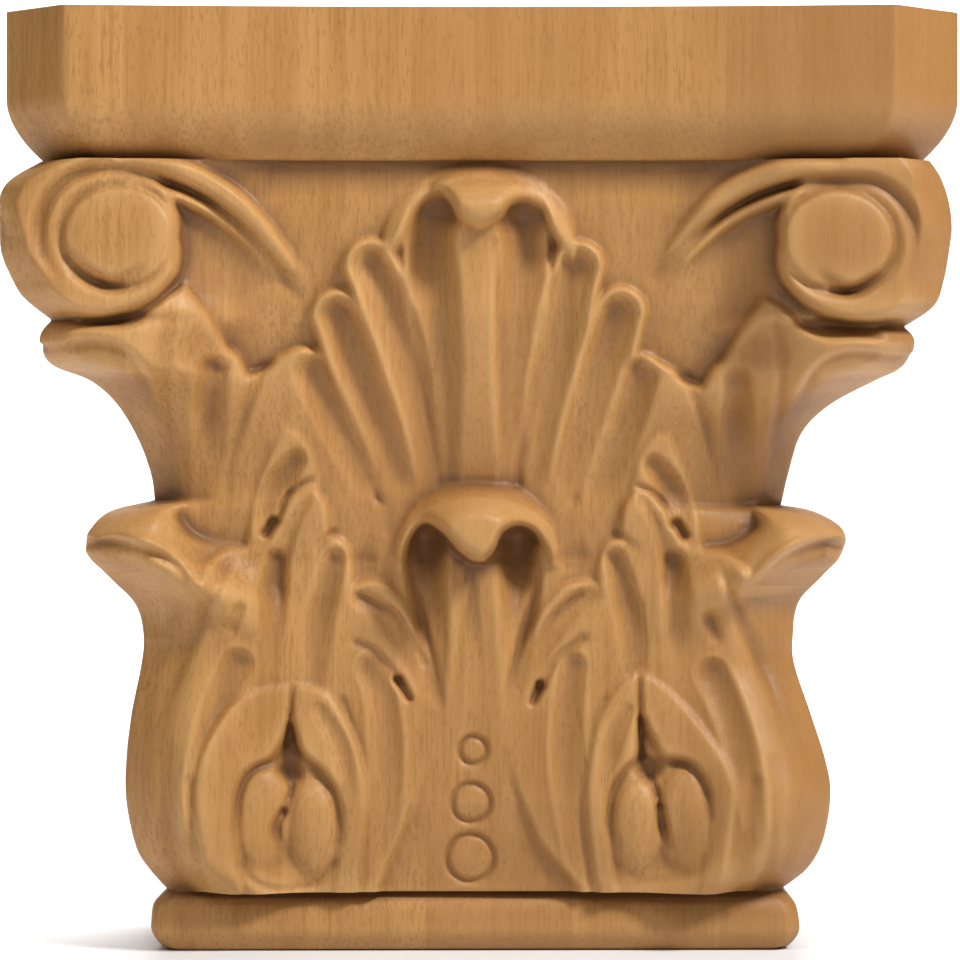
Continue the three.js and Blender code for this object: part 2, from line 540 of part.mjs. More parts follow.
// The eyes drilled between lobes, the undercuts beside them and the seams of the bud motif.
gouge([3.4, 3.8], [0.5, 0.6], ...both([[26.6, 53.3], [27.3, 52]], 0.2));
crease([1.6, 2.4, 1.2], [0.5], ...both([[27.8, 52], [28.4, 50], [29.6, 48.6], [31.2, 47.9]], 0.6));
gouge([3.4, 2.6], [0.6, 0.4], [[39.8, 68], [40.9, 69.8]], [[54, 68.6], [53.3, 70.2]]);
gouge([1, 2.6, 1], [0.9, 1.1, 0.9], [[36.4, 57.6], [36.4, 56], [36.4, 54.4]], [[57.4, 57.4], [57.5, 55.6],
  [57.6, 53.6]]);
crease([1.8, 2.4, 1], [0.45], [[28.5, 74.4], [29, 71], [29.2, 68.6]], [[64.2, 75.6], [64, 71],
  [63.9, 67.4]]);
crease([2, 2.4], [0.5], [[28.2, 81.2], [29.2, 78.6]], [[66.1, 80.4], [65.1, 77.6]]);
gouge([3, 3, 0.8], [0.5, 0.6, 0.3], [[28.3, 81], [27.6, 82.6], [28.1, 84.7]], [[66, 80.6], [66.3, 82.4],
  [66.8, 84.4]]);

const LEAF_STAGES = [
  "upper corner leaves", "small leaves", "fan", "lower leaves", "inner lobes", "buds", "lower head",
];

// Height of the front above the back plane at a place on the drawing.
function relief(column, row, face = FRONT_FACE) {
  const side = column < AXIS ? "left" : "right";
  const out = Math.abs(column - AXIS);
  if (row < NECK_ROW) {
    const front = DEPTH - ABACUS.hollow * (1 - Math.min(1, out / ABACUS.hollowReach) ** 2);
    const drop = Math.max(0, (row - ABACUS.ovoloRow) / (NECK_ROW - ABACUS.ovoloRow));
    return front - ABACUS.ovolo * drop * drop;
  }
  if (row > BEAD_ROW) {
    const share = (column - BEAD_FROM) / (BEAD_TO - BEAD_FROM);
    return mix(halfWidth("left", row), halfWidth("right", row), share) * SQUARE - RETURN;
  }
  const base = baseHeight(side, out, row, face);
  let height = carveStage("stems", base, base, column, row);
  height = scroll(height, side, column, row, face);
  height = carveStage("scrolls", height, base, column, row);
  for (const name of LEAF_STAGES) height = carveStage(name, height, base, column, row);
  height = rings(stem(height, base, column, row), column, row);
  return carveStage("finish", height, base, column, row);
}

// A sheet of heights over a square grid, kept only where the form needs it.
// Right triangles are halved again and again; a half is kept while its middle would miss
// the surface by the tolerance.
const CELLS = 256;
const POINTS = CELLS + 1;

function halvingErrors(heights, cell) {
  const errors = new Float32Array(POINTS * POINTS);
  const smallest = CELLS * CELLS;
  const triangles = smallest * 2 - 2;
  for (let i = triangles + smallest - 1; i >= 0; i--) {
    const { ax, ay, bx, by, cx, cy } = halved(i);
    const mx = (ax + bx) >> 1;
    const my = (ay + by) >> 1;
    const middle = my * POINTS + mx;
    const ends = [heights[ay * POINTS + ax], heights[by * POINTS + bx]];
    const length = Math.hypot((ax - bx) * cell[0], (ay - by) * cell[1]);
    const rise = Math.max(Math.abs(ends[0] - ends[1]), 2 * Math.abs(ends[0] - heights[middle]),
      2 * Math.abs(ends[1] - heights[middle]));
    const miss = Math.abs((ends[0] + ends[1]) / 2 - heights[middle]) * (length / Math.hypot(length, rise));
    let error = Math.max(errors[middle], miss);
    if (i < triangles) {
      const left = ((ay + cy) >> 1) * POINTS + ((ax + cx) >> 1);
      const right = ((by + cy) >> 1) * POINTS + ((bx + cx) >> 1);
      error = Math.max(error, errors[left], errors[right]);
    }
    errors[middle] = error;
  }
  return errors;
}

// Corners of the triangle with this number: its long side runs from a to b and its right angle is at c.
function halved(index) {
  let id = index + 2;
  let [ax, ay, bx, by, cx, cy] = [0, 0, 0, 0, 0, 0];
  if (id & 1) bx = by = cx = CELLS;
  else ax = ay = cy = CELLS;
  while ((id >>= 1) > 1) {
    const mx = (ax + bx) >> 1;
    const my = (ay + by) >> 1;
    if (id & 1) [bx, by, ax, ay] = [ax, ay, cx, cy];
    else [ax, ay, bx, by] = [bx, by, cx, cy];
    [cx, cy] = [mx, my];
  }
  return { ax, ay, bx, by, cx, cy };
}

function keptTriangles(errors, tolerance) {
  const kept = [];
  const split = (ax, ay, bx, by, cx, cy) => {
    const mx = (ax + bx) >> 1;
    const my = (ay + by) >> 1;
    if (Math.abs(ax - cx) + Math.abs(ay - cy) > 1 && errors[my * POINTS + mx] > tolerance) {
      split(cx, cy, ax, ay, mx, my);
      split(bx, by, cx, cy, mx, my);
    } else kept.push([ax, ay], [bx, by], [cx, cy]);
  };
  split(0, 0, CELLS, CELLS, CELLS, 0);
  split(CELLS, CELLS, 0, 0, 0, CELLS);
  return kept;
}

// The height averaged over one cell, so that the solid follows the form and leaves the knife lines out.
const SOFTEN = [-0.3, 0.3];

function softened(heightAt, i, j) {
  let sum = 0;
  for (const di of SOFTEN)
    for (const dj of SOFTEN) sum += heightAt(i + di / CELLS, j + dj / CELLS);
  return sum / SOFTEN.length ** 2;
}

// A closed solid under the sheet. Place turns grid shares and a height into millimetres.
function sheetSolid(heightAt, place, floor, tolerance, cell) {
  const heights = new Float32Array(POINTS * POINTS);
  for (let j = 0; j < POINTS; j++)
    for (let i = 0; i < POINTS; i++) heights[j * POINTS + i] = softened(heightAt, i / CELLS, j / CELLS);
  const kept = keptTriangles(halvingErrors(heights, cell), tolerance);
  const at = ([i, j], height) => place(i / CELLS, j / CELLS, height);
  const corners = [];
  const rim = new Map();
  for (let k = 0; k < kept.length; k += 3) {
    const three = [kept[k], kept[k + 1], kept[k + 2]];
    for (const p of three) corners.push(at(p, heights[p[1] * POINTS + p[0]]));
    three.forEach((p, n) => {
      const q = three[(n + 1) % 3];
      const onEdge = [0, 1].some((axis) => p[axis] === q[axis] && (p[axis] === 0 || p[axis] === CELLS));
      if (onEdge) rim.set(p.join(), [p, q]);
    });
  }
  const middle = at([CELLS / 2, CELLS / 2], floor);
  for (const [p, q] of rim.values()) {
    const top = (c) => at(c, heights[c[1] * POINTS + c[0]]);
    corners.push(top(q), top(p), at(p, floor));
    corners.push(top(q), at(p, floor), at(q, floor));
    corners.push(at(q, floor), at(p, floor), middle);
  }
  return solidFrom(corners);
}

function solidFrom(corners) {
  const geometry = new THREE.BufferGeometry();
  geometry.setAttribute("position", new THREE.Float32BufferAttribute(corners.flat(), 3));
  const merged = mergeVertices(geometry, 1e-4);
  const build = (indices) => new wasm.Manifold(new wasm.Mesh({
    numProp: 3,
    vertProperties: merged.attributes.position.array,
    triVerts: new Uint32Array(indices),
  }));
  const order = Array.from(merged.index.array);
  const made = build(order);
  if (made.volume() > 0) return made;
  for (let i = 0; i < order.length; i += 3) [order[i + 1], order[i + 2]] = [order[i + 2], order[i + 1]];
  return build(order);
}

// The sheets run a little past the block, which trims them to the flat top, underside and back.
const OVERRUN = 2;
const SPAN_X = WIDTH + 12;
const SPAN_Z = HEIGHT + 2 * OVERRUN;
const BACK = DEPTH / 2;
const rowAt = (z) => Math.min(SQUARES, Math.max(0, (HEIGHT - z) / SQUARE));

const FRONT_TOLERANCE = 0.2;
const SIDE_TOLERANCE = 0.4;

function frontSolid() {
  const x = (share) => (share - 0.5) * SPAN_X;
  const z = (share) => HEIGHT + OVERRUN - share * SPAN_Z;
  return sheetSolid(
    (i, j) => relief(AXIS + x(i) / SQUARE, rowAt(z(j))),
    (i, j, height) => [x(i), BACK - height, z(j)],
    -OVERRUN,
    FRONT_TOLERANCE,
    [SPAN_X / CELLS, SPAN_Z / CELLS],
  );
}

// A side repeats the half front round the corner, run back to the wall, and keeps inside
// the outline the front shows.
function sideReach(sign, depth, row) {
  const side = sign < 0 ? "left" : "right";
  const half = halfWidth(side, row) * SQUARE;
  if (row < NECK_ROW) return half;
  return Math.min(half, RETURN + relief(AXIS + (sign * (depth + RETURN)) / SQUARE, row, SIDE_FACE));
}

function sideSolid(sign) {
  const depth = (share) => share * (DEPTH + 2 * OVERRUN) - OVERRUN;
  const z = (share) => HEIGHT + OVERRUN - share * SPAN_Z;
  return sheetSolid(
    (i, j) => sideReach(sign, Math.max(0, depth(i)), rowAt(z(j))),
    (i, j, height) => [sign * height, BACK - depth(i), z(j)],
    -WIDTH,
    SIDE_TOLERANCE,
    [(DEPTH + 2 * OVERRUN) / CELLS, SPAN_Z / CELLS],
  );
}

const CANT_ROWS = 72;

// The canted corner: one upright profile run level along the diagonal. What it bounds is |x| plus the depth.
function cantSolid(sign) {
  const side = sign < 0 ? "left" : "right";
  const run = WIDTH * 2;
  const profile = [new THREE.Vector2(-run, -OVERRUN), new THREE.Vector2(-run, HEIGHT + OVERRUN)];
  for (let k = 0; k <= CANT_ROWS; k++) {
    const row = (k / CANT_ROWS) * SQUARES;
    const cant = row < NECK_ROW ? ABACUS.cant[side] : along(CANT, row);
    const reach = 2 * halfWidth(side, row) * SQUARE - RETURN - cant;
    const past = k === 0 ? OVERRUN : k === CANT_ROWS ? -OVERRUN : 0;
    profile.push(new THREE.Vector2(reach, HEIGHT - row * SQUARE + past));
  }
  const slab = new THREE.ExtrudeGeometry(new THREE.Shape(profile), { depth: 2 * run, bevelEnabled: false });
  return solidOf(slab, (reach, z, t) => [(sign * (reach + t - run)) / 2, BACK - (reach - t + run) / 2, z]);
}

function solidOf(geometry, place) {
  const p = (geometry.index ? geometry.toNonIndexed() : geometry).attributes.position;
  const corners = [];
  for (let i = 0; i < p.count; i++) corners.push(place(p.getX(i), p.getY(i), p.getZ(i)));
  return solidFrom(corners);
}

function blockSolid() {
  const past = 10;
  const block = new THREE.BoxGeometry(SPAN_X + past, DEPTH + past, HEIGHT);
  return solidOf(block, (x, y, z) => [x, y - past / 2, z + HEIGHT / 2]);
}

// Thinning: edges are collapsed one by one, the one that moves the surface least first.
// Each corner keeps the sum of squared distances to the planes that met at it, as ten numbers.
const FLIP_LIMIT = 0.25;
const SLIVER_LIMIT = 0.02;

function planeSums(n, d, weight) {
  const [a, b, c] = n;
  return [a * a, a * b, a * c, a * d, b * b, b * c, b * d, c * c, c * d, d * d].map((v) => v * weight);
}

function missAt(q, [x, y, z]) {
  return q[0] * x * x + 2 * q[1] * x * y + 2 * q[2] * x * z + 2 * q[3] * x + q[4] * y * y + 2 * q[5] * y * z
    + 2 * q[6] * y + q[7] * z * z + 2 * q[8] * z + q[9];
}

// The place with the least miss, or nothing where the planes leave it open.
function bestPlace(q) {
  const [a, b, c, u, e, f, v, i, w] = q;
  const p = e * i - f * f;
  const r = c * f - b * i;
  const s = b * f - c * e;
  const volume = a * p + b * r + c * s;
  if (Math.abs(volume) < 1e-4 * (a + e + i) ** 3) return null;
  return [
    -(p * u + r * v + s * w) / volume,
    -(r * u + (a * i - c * c) * v + (b * c - a * f) * w) / volume,
    -(s * u + (b * c - a * f) * v + (a * e - b * b) * w) / volume,
  ];
}

function faceNormal(a, b, c) {
  const [ux, uy, uz] = [b[0] - a[0], b[1] - a[1], b[2] - a[2]];
  const [vx, vy, vz] = [c[0] - a[0], c[1] - a[1], c[2] - a[2]];
  return [uy * vz - uz * vy, uz * vx - ux * vz, ux * vy - uy * vx];
}

const dot = (a, b) => a[0] * b[0] + a[1] * b[1] + a[2] * b[2];
const span = (a, b) => Math.hypot(a[0] - b[0], a[1] - b[1], a[2] - b[2]);

// A heap of [cost, ...] entries, cheapest out first.
class Heap {
  entries = [];
  push(entry) {
    const e = this.entries;
    let i = e.push(entry) - 1;
    while (i > 0 && e[(i - 1) >> 1][0] > entry[0]) {
      e[i] = e[(i - 1) >> 1];
      i = (i - 1) >> 1;
    }
    e[i] = entry;
  }
  pop() {
    const e = this.entries;
    const first = e[0];
    const last = e.pop();
    if (!e.length) return first;
    let i = 0;
    for (;;) {
      let k = 2 * i + 1;
      if (k >= e.length) break;
      if (k + 1 < e.length && e[k + 1][0] < e[k][0]) k += 1;
      if (e[k][0] >= last[0]) break;
      e[i] = e[k];
      i = k;
    }
    e[i] = last;
    return first;
  }
}

function thinned(solid, wanted, weightAt) {
  const { numProp, vertProperties, triVerts } = solid.getMesh();
  const points = [];
  for (let i = 0; i < vertProperties.length; i += numProp)
    points.push([vertProperties[i], vertProperties[i + 1], vertProperties[i + 2]]);
  const faces = [];
  const around = points.map(() => new Set());
  const sums = points.map(() => new Array(10).fill(0));
  for (let t = 0; t < triVerts.length; t += 3) {
    const face = [triVerts[t], triVerts[t + 1], triVerts[t + 2]];
    const corners = face.map((v) => points[v]);
    const normal = faceNormal(...corners);
    const size = Math.hypot(...normal);
    faces.push(face);
    face.forEach((v) => around[v].add(faces.length - 1));
    if (size < 1e-9) continue;
    const unit = normal.map((v) => v / size);
    const sum = planeSums(unit, -dot(unit, corners[0]), (size / 6) * weightAt(corners[0]));
    face.forEach((v) => sum.forEach((value, k) => { sums[v][k] += value; }));
  }
  const version = new Uint32Array(points.length);
  const heap = new Heap();
  const offer = (u, v) => {
    const sum = sums[u].map((value, k) => value + sums[v][k]);
    const half = points[u].map((value, k) => (value + points[v][k]) / 2);
    let place = bestPlace(sum);
    if (!place || span(place, half) > 2 * span(points[u], points[v]))
      place = [points[u], points[v], half].reduce((a, b) => (missAt(sum, b) < missAt(sum, a) ? b : a));
    heap.push([missAt(sum, place) + 1e-7 * span(points[u], points[v]), u, v, version[u], version[v], place]);
  };
  const neighbours = (v) => {
    const found = new Set();
    for (const f of around[v]) for (const w of faces[f]) if (w !== v) found.add(w);
    return found;
  };
  points.forEach((_, v) => { for (const w of neighbours(v)) if (v < w) offer(v, w); });
  const holds = (keep, gone, place) => {
    for (const f of around[keep]) {
      const face = faces[f];
      if (face.includes(gone)) continue;
      const before = face.map((v) => points[v]);
      const after = face.map((v) => (v === keep ? place : points[v]));
      const was = faceNormal(...before);
      const now = faceNormal(...after);
      const size = Math.hypot(...now);
      const sides = [span(after[0], after[1]), span(after[1], after[2]), span(after[2], after[0])];
      if (size < SLIVER_LIMIT * Math.max(...sides) ** 2 && size < Math.hypot(...was)) return false;
      if (size < 1e-6) return false;
      const wasSize = Math.hypot(...was);
      if (wasSize > 1e-6 && dot(was, now) < FLIP_LIMIT * size * wasSize) return false;
    }
    return true;
  };
  let left = faces.length;
  while (left > wanted && heap.entries.length) {
    const [, u, v, atU, atV, place] = heap.pop();
    if (version[u] !== atU || version[v] !== atV || !around[u].size || !around[v].size) continue;
    const nearV = neighbours(v);
    const shared = [...neighbours(u)].filter((w) => nearV.has(w));
    if (shared.length !== 2 || !holds(u, v, place) || !holds(v, u, place)) continue;
    for (const f of [...around[v]]) {
      if (faces[f].includes(u)) {
        for (const w of faces[f]) around[w].delete(f);
        faces[f] = null;
        left -= 1;
      } else {
        faces[f] = faces[f].map((w) => (w === v ? u : w));
        around[u].add(f);
      }
    }
    around[v].clear();
    points[u] = place;
    sums[u] = sums[u].map((value, k) => value + sums[v][k]);
    version[u] += 1;
    version[v] += 1;
    for (const w of neighbours(u)) offer(u, w);
  }
  return faces.filter(Boolean).flatMap((face) => face.map((v) => onPlanes(points[v])));
}

// Corners on the flat top, underside and back stay exactly on them.
function onPlanes([x, y, z]) {
  const near = (value, plane) => (Math.abs(value - plane) < 0.01 ? plane : value);
  return [x, near(y, BACK), near(near(z, 0), HEIGHT)];
}

// The drawing was taken from straight in front, where what stands further back looks smaller and lower.
// This moves each corner from where the drawing shows it to where it stands.
const WIDER = { by: 0.015, from: 0.3, to: 0.6 };
const RISE = 2.7;

function setTrue([x, y, z]) {
  const down = (HEIGHT - z) / HEIGHT;
  return [x * (1 + WIDER.by * smooth(down, WIDER.from, WIDER.to)), y, z + RISE * Math.sin(Math.PI * down)];
}

function meshFrom(name, solid) {
  const { numProp, vertProperties, triVerts } = solid.getMesh();
  const positions = new Float32Array((vertProperties.length / numProp) * 3);
  for (let i = 0; i < positions.length / 3; i++)
    positions.set(vertProperties.subarray(i * numProp, i * numProp + 3), i * 3);
  const geometry = new THREE.BufferGeometry();
  geometry.setAttribute("position", new THREE.BufferAttribute(positions, 3));
  geometry.setIndex(new THREE.BufferAttribute(new Uint32Array(triVerts), 1));
  geometry.computeVertexNormals();
  const mesh = new THREE.Mesh(geometry, new THREE.MeshStandardMaterial({ color: 0xc4955c, flatShading: true }));
  mesh.name = name;
  return mesh;
}

const pieces = [frontSolid(), sideSolid(-1), sideSolid(1), cantSolid(-1), cantSolid(1), blockSolid()];
const capital = wasm.Manifold.intersection(pieces);

// The front is what is looked at, so what lies near the back gives up its detail first.
const WANTED = 9600;
const NEAR_BACK = 40;
const NEAR_BACK_WEIGHT = 0.3;
const weightAt = ([, y]) => (y < BACK - NEAR_BACK ? 1 : NEAR_BACK_WEIGHT);
const finished = solidFrom(thinned(capital, WANTED, weightAt).map(setTrue));

const group = new THREE.Group();
group.add(meshFrom("capital", finished));
export default group;
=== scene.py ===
"""A carved wooden pilaster capital on a pale floor, seen straight on.

The form is the one the frame carries, worked out again at a finer step. The carving is set out on a
squared drawing of the front, repeated round both corners for the sides, and closed by a flat top,
underside and back.
"""
import math

import bmesh
import bpy
import numpy as np
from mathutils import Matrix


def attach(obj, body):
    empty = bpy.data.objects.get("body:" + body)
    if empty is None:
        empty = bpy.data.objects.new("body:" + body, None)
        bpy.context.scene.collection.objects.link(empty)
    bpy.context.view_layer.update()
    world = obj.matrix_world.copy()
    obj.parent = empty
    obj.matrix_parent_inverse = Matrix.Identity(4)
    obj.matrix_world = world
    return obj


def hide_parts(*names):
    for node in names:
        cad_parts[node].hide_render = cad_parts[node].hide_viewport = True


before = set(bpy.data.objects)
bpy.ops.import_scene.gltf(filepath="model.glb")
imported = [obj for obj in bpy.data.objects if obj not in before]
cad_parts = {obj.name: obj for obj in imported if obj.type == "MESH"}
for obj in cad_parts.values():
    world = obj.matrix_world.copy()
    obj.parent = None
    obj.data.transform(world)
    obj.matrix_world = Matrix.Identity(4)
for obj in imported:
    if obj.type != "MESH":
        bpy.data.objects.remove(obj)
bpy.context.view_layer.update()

# Driving dimensions, in millimetres
WIDTH = 228.6
HEIGHT = 228.6
DEPTH = 101.6
METRES = 0.001

# The squared drawing: columns run from the left edge of the front, rows down from its top
SQUARES = 95
SQUARE = WIDTH / SQUARES
AXIS = 48
RETURN = WIDTH / 2 - DEPTH

# The rows where the abacus ends and the bead begins, and the columns between which the bead runs
NECK_ROW = 15.5
BEAD_ROW = 89.1
BEAD_FROM = 16
BEAD_TO = 80

# The abacus: half its width and the reach of its hollow front in squares, its cut corners, the hollow and
# the moulding under it in millimetres, and the row where that moulding starts
ABACUS_HALF = {"left": 47.4, "right": 47.9}
ABACUS_CANT = {"left": 15, "right": 17.7}
ABACUS_HOLLOW = 4.5
HOLLOW_REACH = 41
OVOLO = 8.7
OVOLO_ROW = 9


def smooth(x, start, end):
    t = np.clip((x - start) / (end - start), 0, 1)
    return t * t * (3 - 2 * t)


def mix(a, b, share):
    return a + (b - a) * share


def along(steps, row):
    """A value read off a table of (row, value) steps."""
    return np.interp(row, [step[0] for step in steps], [step[1] for step in steps])


def spread(values, share):
    """A value spread evenly along a path, share 0 at its root and 1 at its tip."""
    if len(values) == 1:
        return values[0] + 0 * share
    return np.interp(share, np.linspace(0, 1, len(values)), values)


CURVE_STEPS = 7


def curve_through(points):
    """A smooth curve through the given points."""
    points = np.array(points, float)
    ends = np.concatenate([points[:1], points, points[-1:]])
    made = []
    for a, b, c, d in zip(ends, ends[1:], ends[2:], ends[3:]):
        for t in np.arange(CURVE_STEPS) / CURVE_STEPS:
            bend = (2 * a - 5 * b + 4 * c - d) * t * t + (3 * b - a - 3 * c + d) * t**3
            made.append(0.5 * (2 * b + (c - a) * t + bend))
    made.append(points[-1])
    return np.array(made)


# The corner outline of each side as the front shows it, one smooth curve for each member
OUTLINE = {
    "left": [
        [[4.2, 15.5], [1.4, 17.4], [0.3, 19], [-0.1, 21], [0.2, 24.6], [1, 27], [2.3, 29.4], [5, 31.7]],
        [[5, 31.7], [4.1, 33], [4, 34.4], [4.4, 35.6], [5.6, 36.6], [8.6, 37.8], [11.2, 40.2],
         [13.3, 43.8], [14.6, 47.4], [15, 50]],
        [[15, 50], [11, 51], [9.1, 52.8], [8.5, 54.6], [8.9, 55.8], [11.1, 58.2], [13.2, 60.6],
         [14, 63.6], [13.8, 66.6], [12.9, 71.4], [12.4, 76], [12.4, 80], [13.3, 84.6], [14.6, 87],
         [16.3, 89.1]],
        [[16.3, 89.1], [15.1, 90.2], [14.8, 92], [14.9, 93.2], [15.8, 94.6], [16.5, 95]],
    ],
    "right": [
        [[92.8, 15.5], [93.9, 17.2], [94.7, 19.4], [95.1, 22.2], [94.9, 24.6], [94.3, 28], [93.3, 30.4],
         [90.6, 32.4]],
        [[90.6, 32.4], [91.4, 33.4], [91.5, 34.4], [91.1, 35.6], [90, 36.8], [87.9, 37.8], [83.6, 40.2],
         [80.9, 43], [79.6, 46.8], [78.7, 50.5]],
        [[78.7, 50.5], [81.5, 51], [84, 52.4], [84.8, 54], [84.3, 55.8], [82.6, 57.8], [80.4, 60.4],
         [79.8, 63.6], [79.9, 66.6], [81.4, 71.4], [82.8, 76], [83.3, 79.5], [82.6, 84], [81.1, 87],
         [78.7, 89.1]],
        [[78.7, 89.1], [79.9, 90.4], [80.3, 92.2], [80.2, 93.4], [79.4, 94.6], [78.6, 95]],
    ],
}


# The least step down an outline, in rows
ROW_STEP = 0.02


def outline_rows(curves, sign):
    """Half the width at each row of an outline, in squares from the axis."""
    rows = []
    for points in curves:
        for column, row in curve_through(points):
            if not rows or row > rows[-1][0] + ROW_STEP:
                rows.append((row, sign * (column - AXIS)))
    return rows


SIGN = {"left": -1, "right": 1}
OUTLINE_ROWS = {side: outline_rows(OUTLINE[side], SIGN[side]) for side in SIGN}


def abacus_drop(row):
    """How far the moulding under the abacus has curved in at a row, in millimetres."""
    return OVOLO * np.clip((row - OVOLO_ROW) / (NECK_ROW - OVOLO_ROW), 0, 1) ** 2


def half_width(side, row):
    """Half the width at a row, in squares from the axis, at the outermost corner."""
    abacus = ABACUS_HALF[side] - abacus_drop(row) / SQUARE
    return np.where(row < NECK_ROW, abacus, along(OUTLINE_ROWS[side], row))


# How far the corner cuts into the front and the side, in millimetres, row by row
CANT = [(15.6, 5), (19, 10), (23.5, 12), (28, 11), (31, 7), (34, 7), (36.5, 11), (41, 7), (50, 5),
        (53.4, 6), (57, 10), (60, 8), (64, 5), (78, 5.5), (88, 5), (89.1, 3), (95, 3)]

# The bell behind the leaves, and how near to the corner it starts to swing forward
BELL = [(15.5, 86.5), (20, 86), (30, 81.5), (40, 74), (48, 67.5), (56, 64), (70, 63.5), (80, 64),
        (89.1, 61.5)]
SWING_FROM = [(15.5, 23), (30, 22), (33, 21), (40, 17), (95, 16)]
SWING_TO = [(15.5, 12), (30, 11), (34, 8), (40, 6), (95, 6)]

# The height of the volutes' faces on the front and on the sides, and how far the ground at the corner
# stays behind them down to the foot of the scrolls. Then how far, where and over which rows the corner
# droops to the lip of its lower leaf, and the rows over which the hollow of the bell fades out.
FRONT_FACE = 98
SIDE_FACE = 103
SCROLL_PROUD = 5
SCROLL_FOOT = (31, 33.5)
DROOP = 4
DROOP_SPAN = (4, 13)
DROOP_ROWS = (49, 51)
HOLLOW_ROWS = (20, 45)


def base_height(side, out, row, face):
    """The ground the leaves stand on: the bell, which swings forward to each corner."""
    half = half_width(side, row)
    behind = face - SCROLL_PROUD * (1 - smooth(row, *SCROLL_FOOT))
    droop = DROOP * smooth(half - out, *DROOP_SPAN) * smooth(row, *DROOP_ROWS)
    corner = np.minimum(behind, half_width(side, row - droop) * SQUARE - RETURN)
    bell = along(BELL, row) + ABACUS_HOLLOW * (out / AXIS) ** 2 * (1 - smooth(row, *HOLLOW_ROWS))
    return mix(bell, corner, smooth(out, half - along(SWING_FROM, row), half - along(SWING_TO, row)))


# The carving: each cut is one entry, with its path from the root to the tip, left leaf first, then its
# partner. Its cuts are kept by the stage of the work they belong to.
carving = {}

# Widths of the walls, in squares, and the shares and millimetres that shape each kind of cut
WALL = 0.45
LOBE_WALL = 0.8
ROOT_SHARE = 0.18
ROUNDED_FROM = 0.75
ROUNDED_BY = 0.4
FLUTE_SHARE = 0.9
HEAD_TURN = 2.2
HEAD_TURN_ROWS = 1.6
HEAD_SPREAD = 0.55
HEAD_FULLNESS = 0.8
SHEET_WALL = 0.28
LIP_WALL = 0.55
LEAF_WALL = 0.7
LEDGE_EDGE = 0.7
LEDGE_HOLLOW = 1.25
CORNER_FADE = (1, 7)


def stage(name):
    """The entries that follow belong to this stage of the work."""
    carving[name] = []


def add_cut(kind, points, widths, **more):
    """Adds a cut along a path, with the box that it stays in."""
    path = curve_through(points)
    reach = max(widths) + WALL
    low = path.min(axis=0) - reach
    high = path.max(axis=0) + reach
    inner = 1 if path[:, 0].mean() < AXIS else -1
    cut = dict(kind=kind, path=path, widths=widths, inner=inner, low=low, high=high, **more)
    carving[list(carving)[-1]].append(cut)


def add_leaf(points, lift):
    """Adds a leaf body inside a closed outline."""
    path = curve_through(list(points) + [points[0]])
    low = path.min(axis=0) - LEAF_WALL
    high = path.max(axis=0) + LEAF_WALL
    carving[list(carving)[-1]].append(dict(kind="leaf", path=path, lift=lift, low=low, high=high))


def add_round(kind, centre, radii, **more):
    """Adds an oval swelling."""
    low = np.subtract(centre, radii)
    high = np.add(centre, radii)
    cut = dict(kind=kind, centre=centre, radii=radii, low=low, high=high, **more)
    carving[list(carving)[-1]].append(cut)


def lobe(lift, flute, skew, widths, *paths):
    """A raised lobe with a flute down it: lift and flute in millimetres from root to tip."""
    for points in paths:
        add_cut("body", points, widths, lift=lift)
        add_cut("flute", points, widths, flute=flute, skew=skew)


def sheet(lift, widths, *paths):
    """A broad, nearly level leaf body that the lobes grow from."""
    for points in paths:
        add_cut("sheet", points, widths, lift=lift)


def gouge(depth, widths, *paths):
    """A round-bottomed cut."""
    for points in paths:
        add_cut("gouge", points, widths, depth=depth)


def crease(depth, widths, *paths):
    """A sharp knife line."""
    for points in paths:
        add_cut("crease", points, widths, depth=depth)


def ledge(depth, widths, toward, *paths):
    """A hollow that deepens up to a sharp edge, on the axis side of its path (1) or the outer (-1)."""
    for points in paths:
        add_cut("ledge", points, widths, depth=depth, toward=toward)


def leaf(lift, *outlines):
    """A level leaf body inside an outline, its lift given as (row, millimetres) steps."""
    for points in outlines:
        add_leaf(points, lift)


LEAF_AXIS = 47.5


def both(points, down=0):
    """A path and its partner on the other side of the leaves' axis, set lower by some rows."""
    return points, [[2 * LEAF_AXIS - x, y + down] for x, y in points]


def dome(lift, centre, radii, fall):
    """A low rounded swelling."""
    add_round("dome", centre, radii, lift=lift, fall=fall)


def head(centre, radii, edge, crown, lip):
    """A turned-over leaf tip: a rounded head that ends in a lip, hanging over the hollows below it."""
    add_round("head", centre, radii, edge=edge, crown=crown, lip=curve_through(lip))


SHORTEST = 1e-9


def nearest(path, column, row):
    """Distance to a path, the share of its length there, and the signed distance across it."""
    best = np.full(column.shape, np.inf)
    share = np.zeros(column.shape)
    across = np.zeros(column.shape)
    steps = np.diff(path, axis=0)
    lengths = np.hypot(steps[:, 0], steps[:, 1])
    run = np.concatenate([[0], np.cumsum(lengths)])
    for (px, py), (dx, dy), length, start in zip(path, steps, lengths, run):
        if length < SHORTEST:
            continue
        t = np.clip(((column - px) * dx + (row - py) * dy) / length**2, 0, 1)
        ex = column - px - t * dx
        ey = row - py - t * dy
        distance = np.hypot(ex, ey)
        nearer = distance < best
        best = np.where(nearer, distance, best)
        share = np.where(nearer, (start + t * length) / run[-1], share)
        across = np.where(nearer, (dx * ey - dy * ex) / length, across)
    return best, share, across


def inside(path, column, row):
    """Whether each place lies inside a closed outline."""
    odd = np.zeros(column.shape, bool)
    for (x0, y0), (x1, y1) in zip(path, path[1:]):
        if y0 != y1:
            crosses = (y0 > row) != (y1 > row)
            odd ^= crosses & (column < x0 + (row - y0) * (x1 - x0) / (y1 - y0))
    return odd


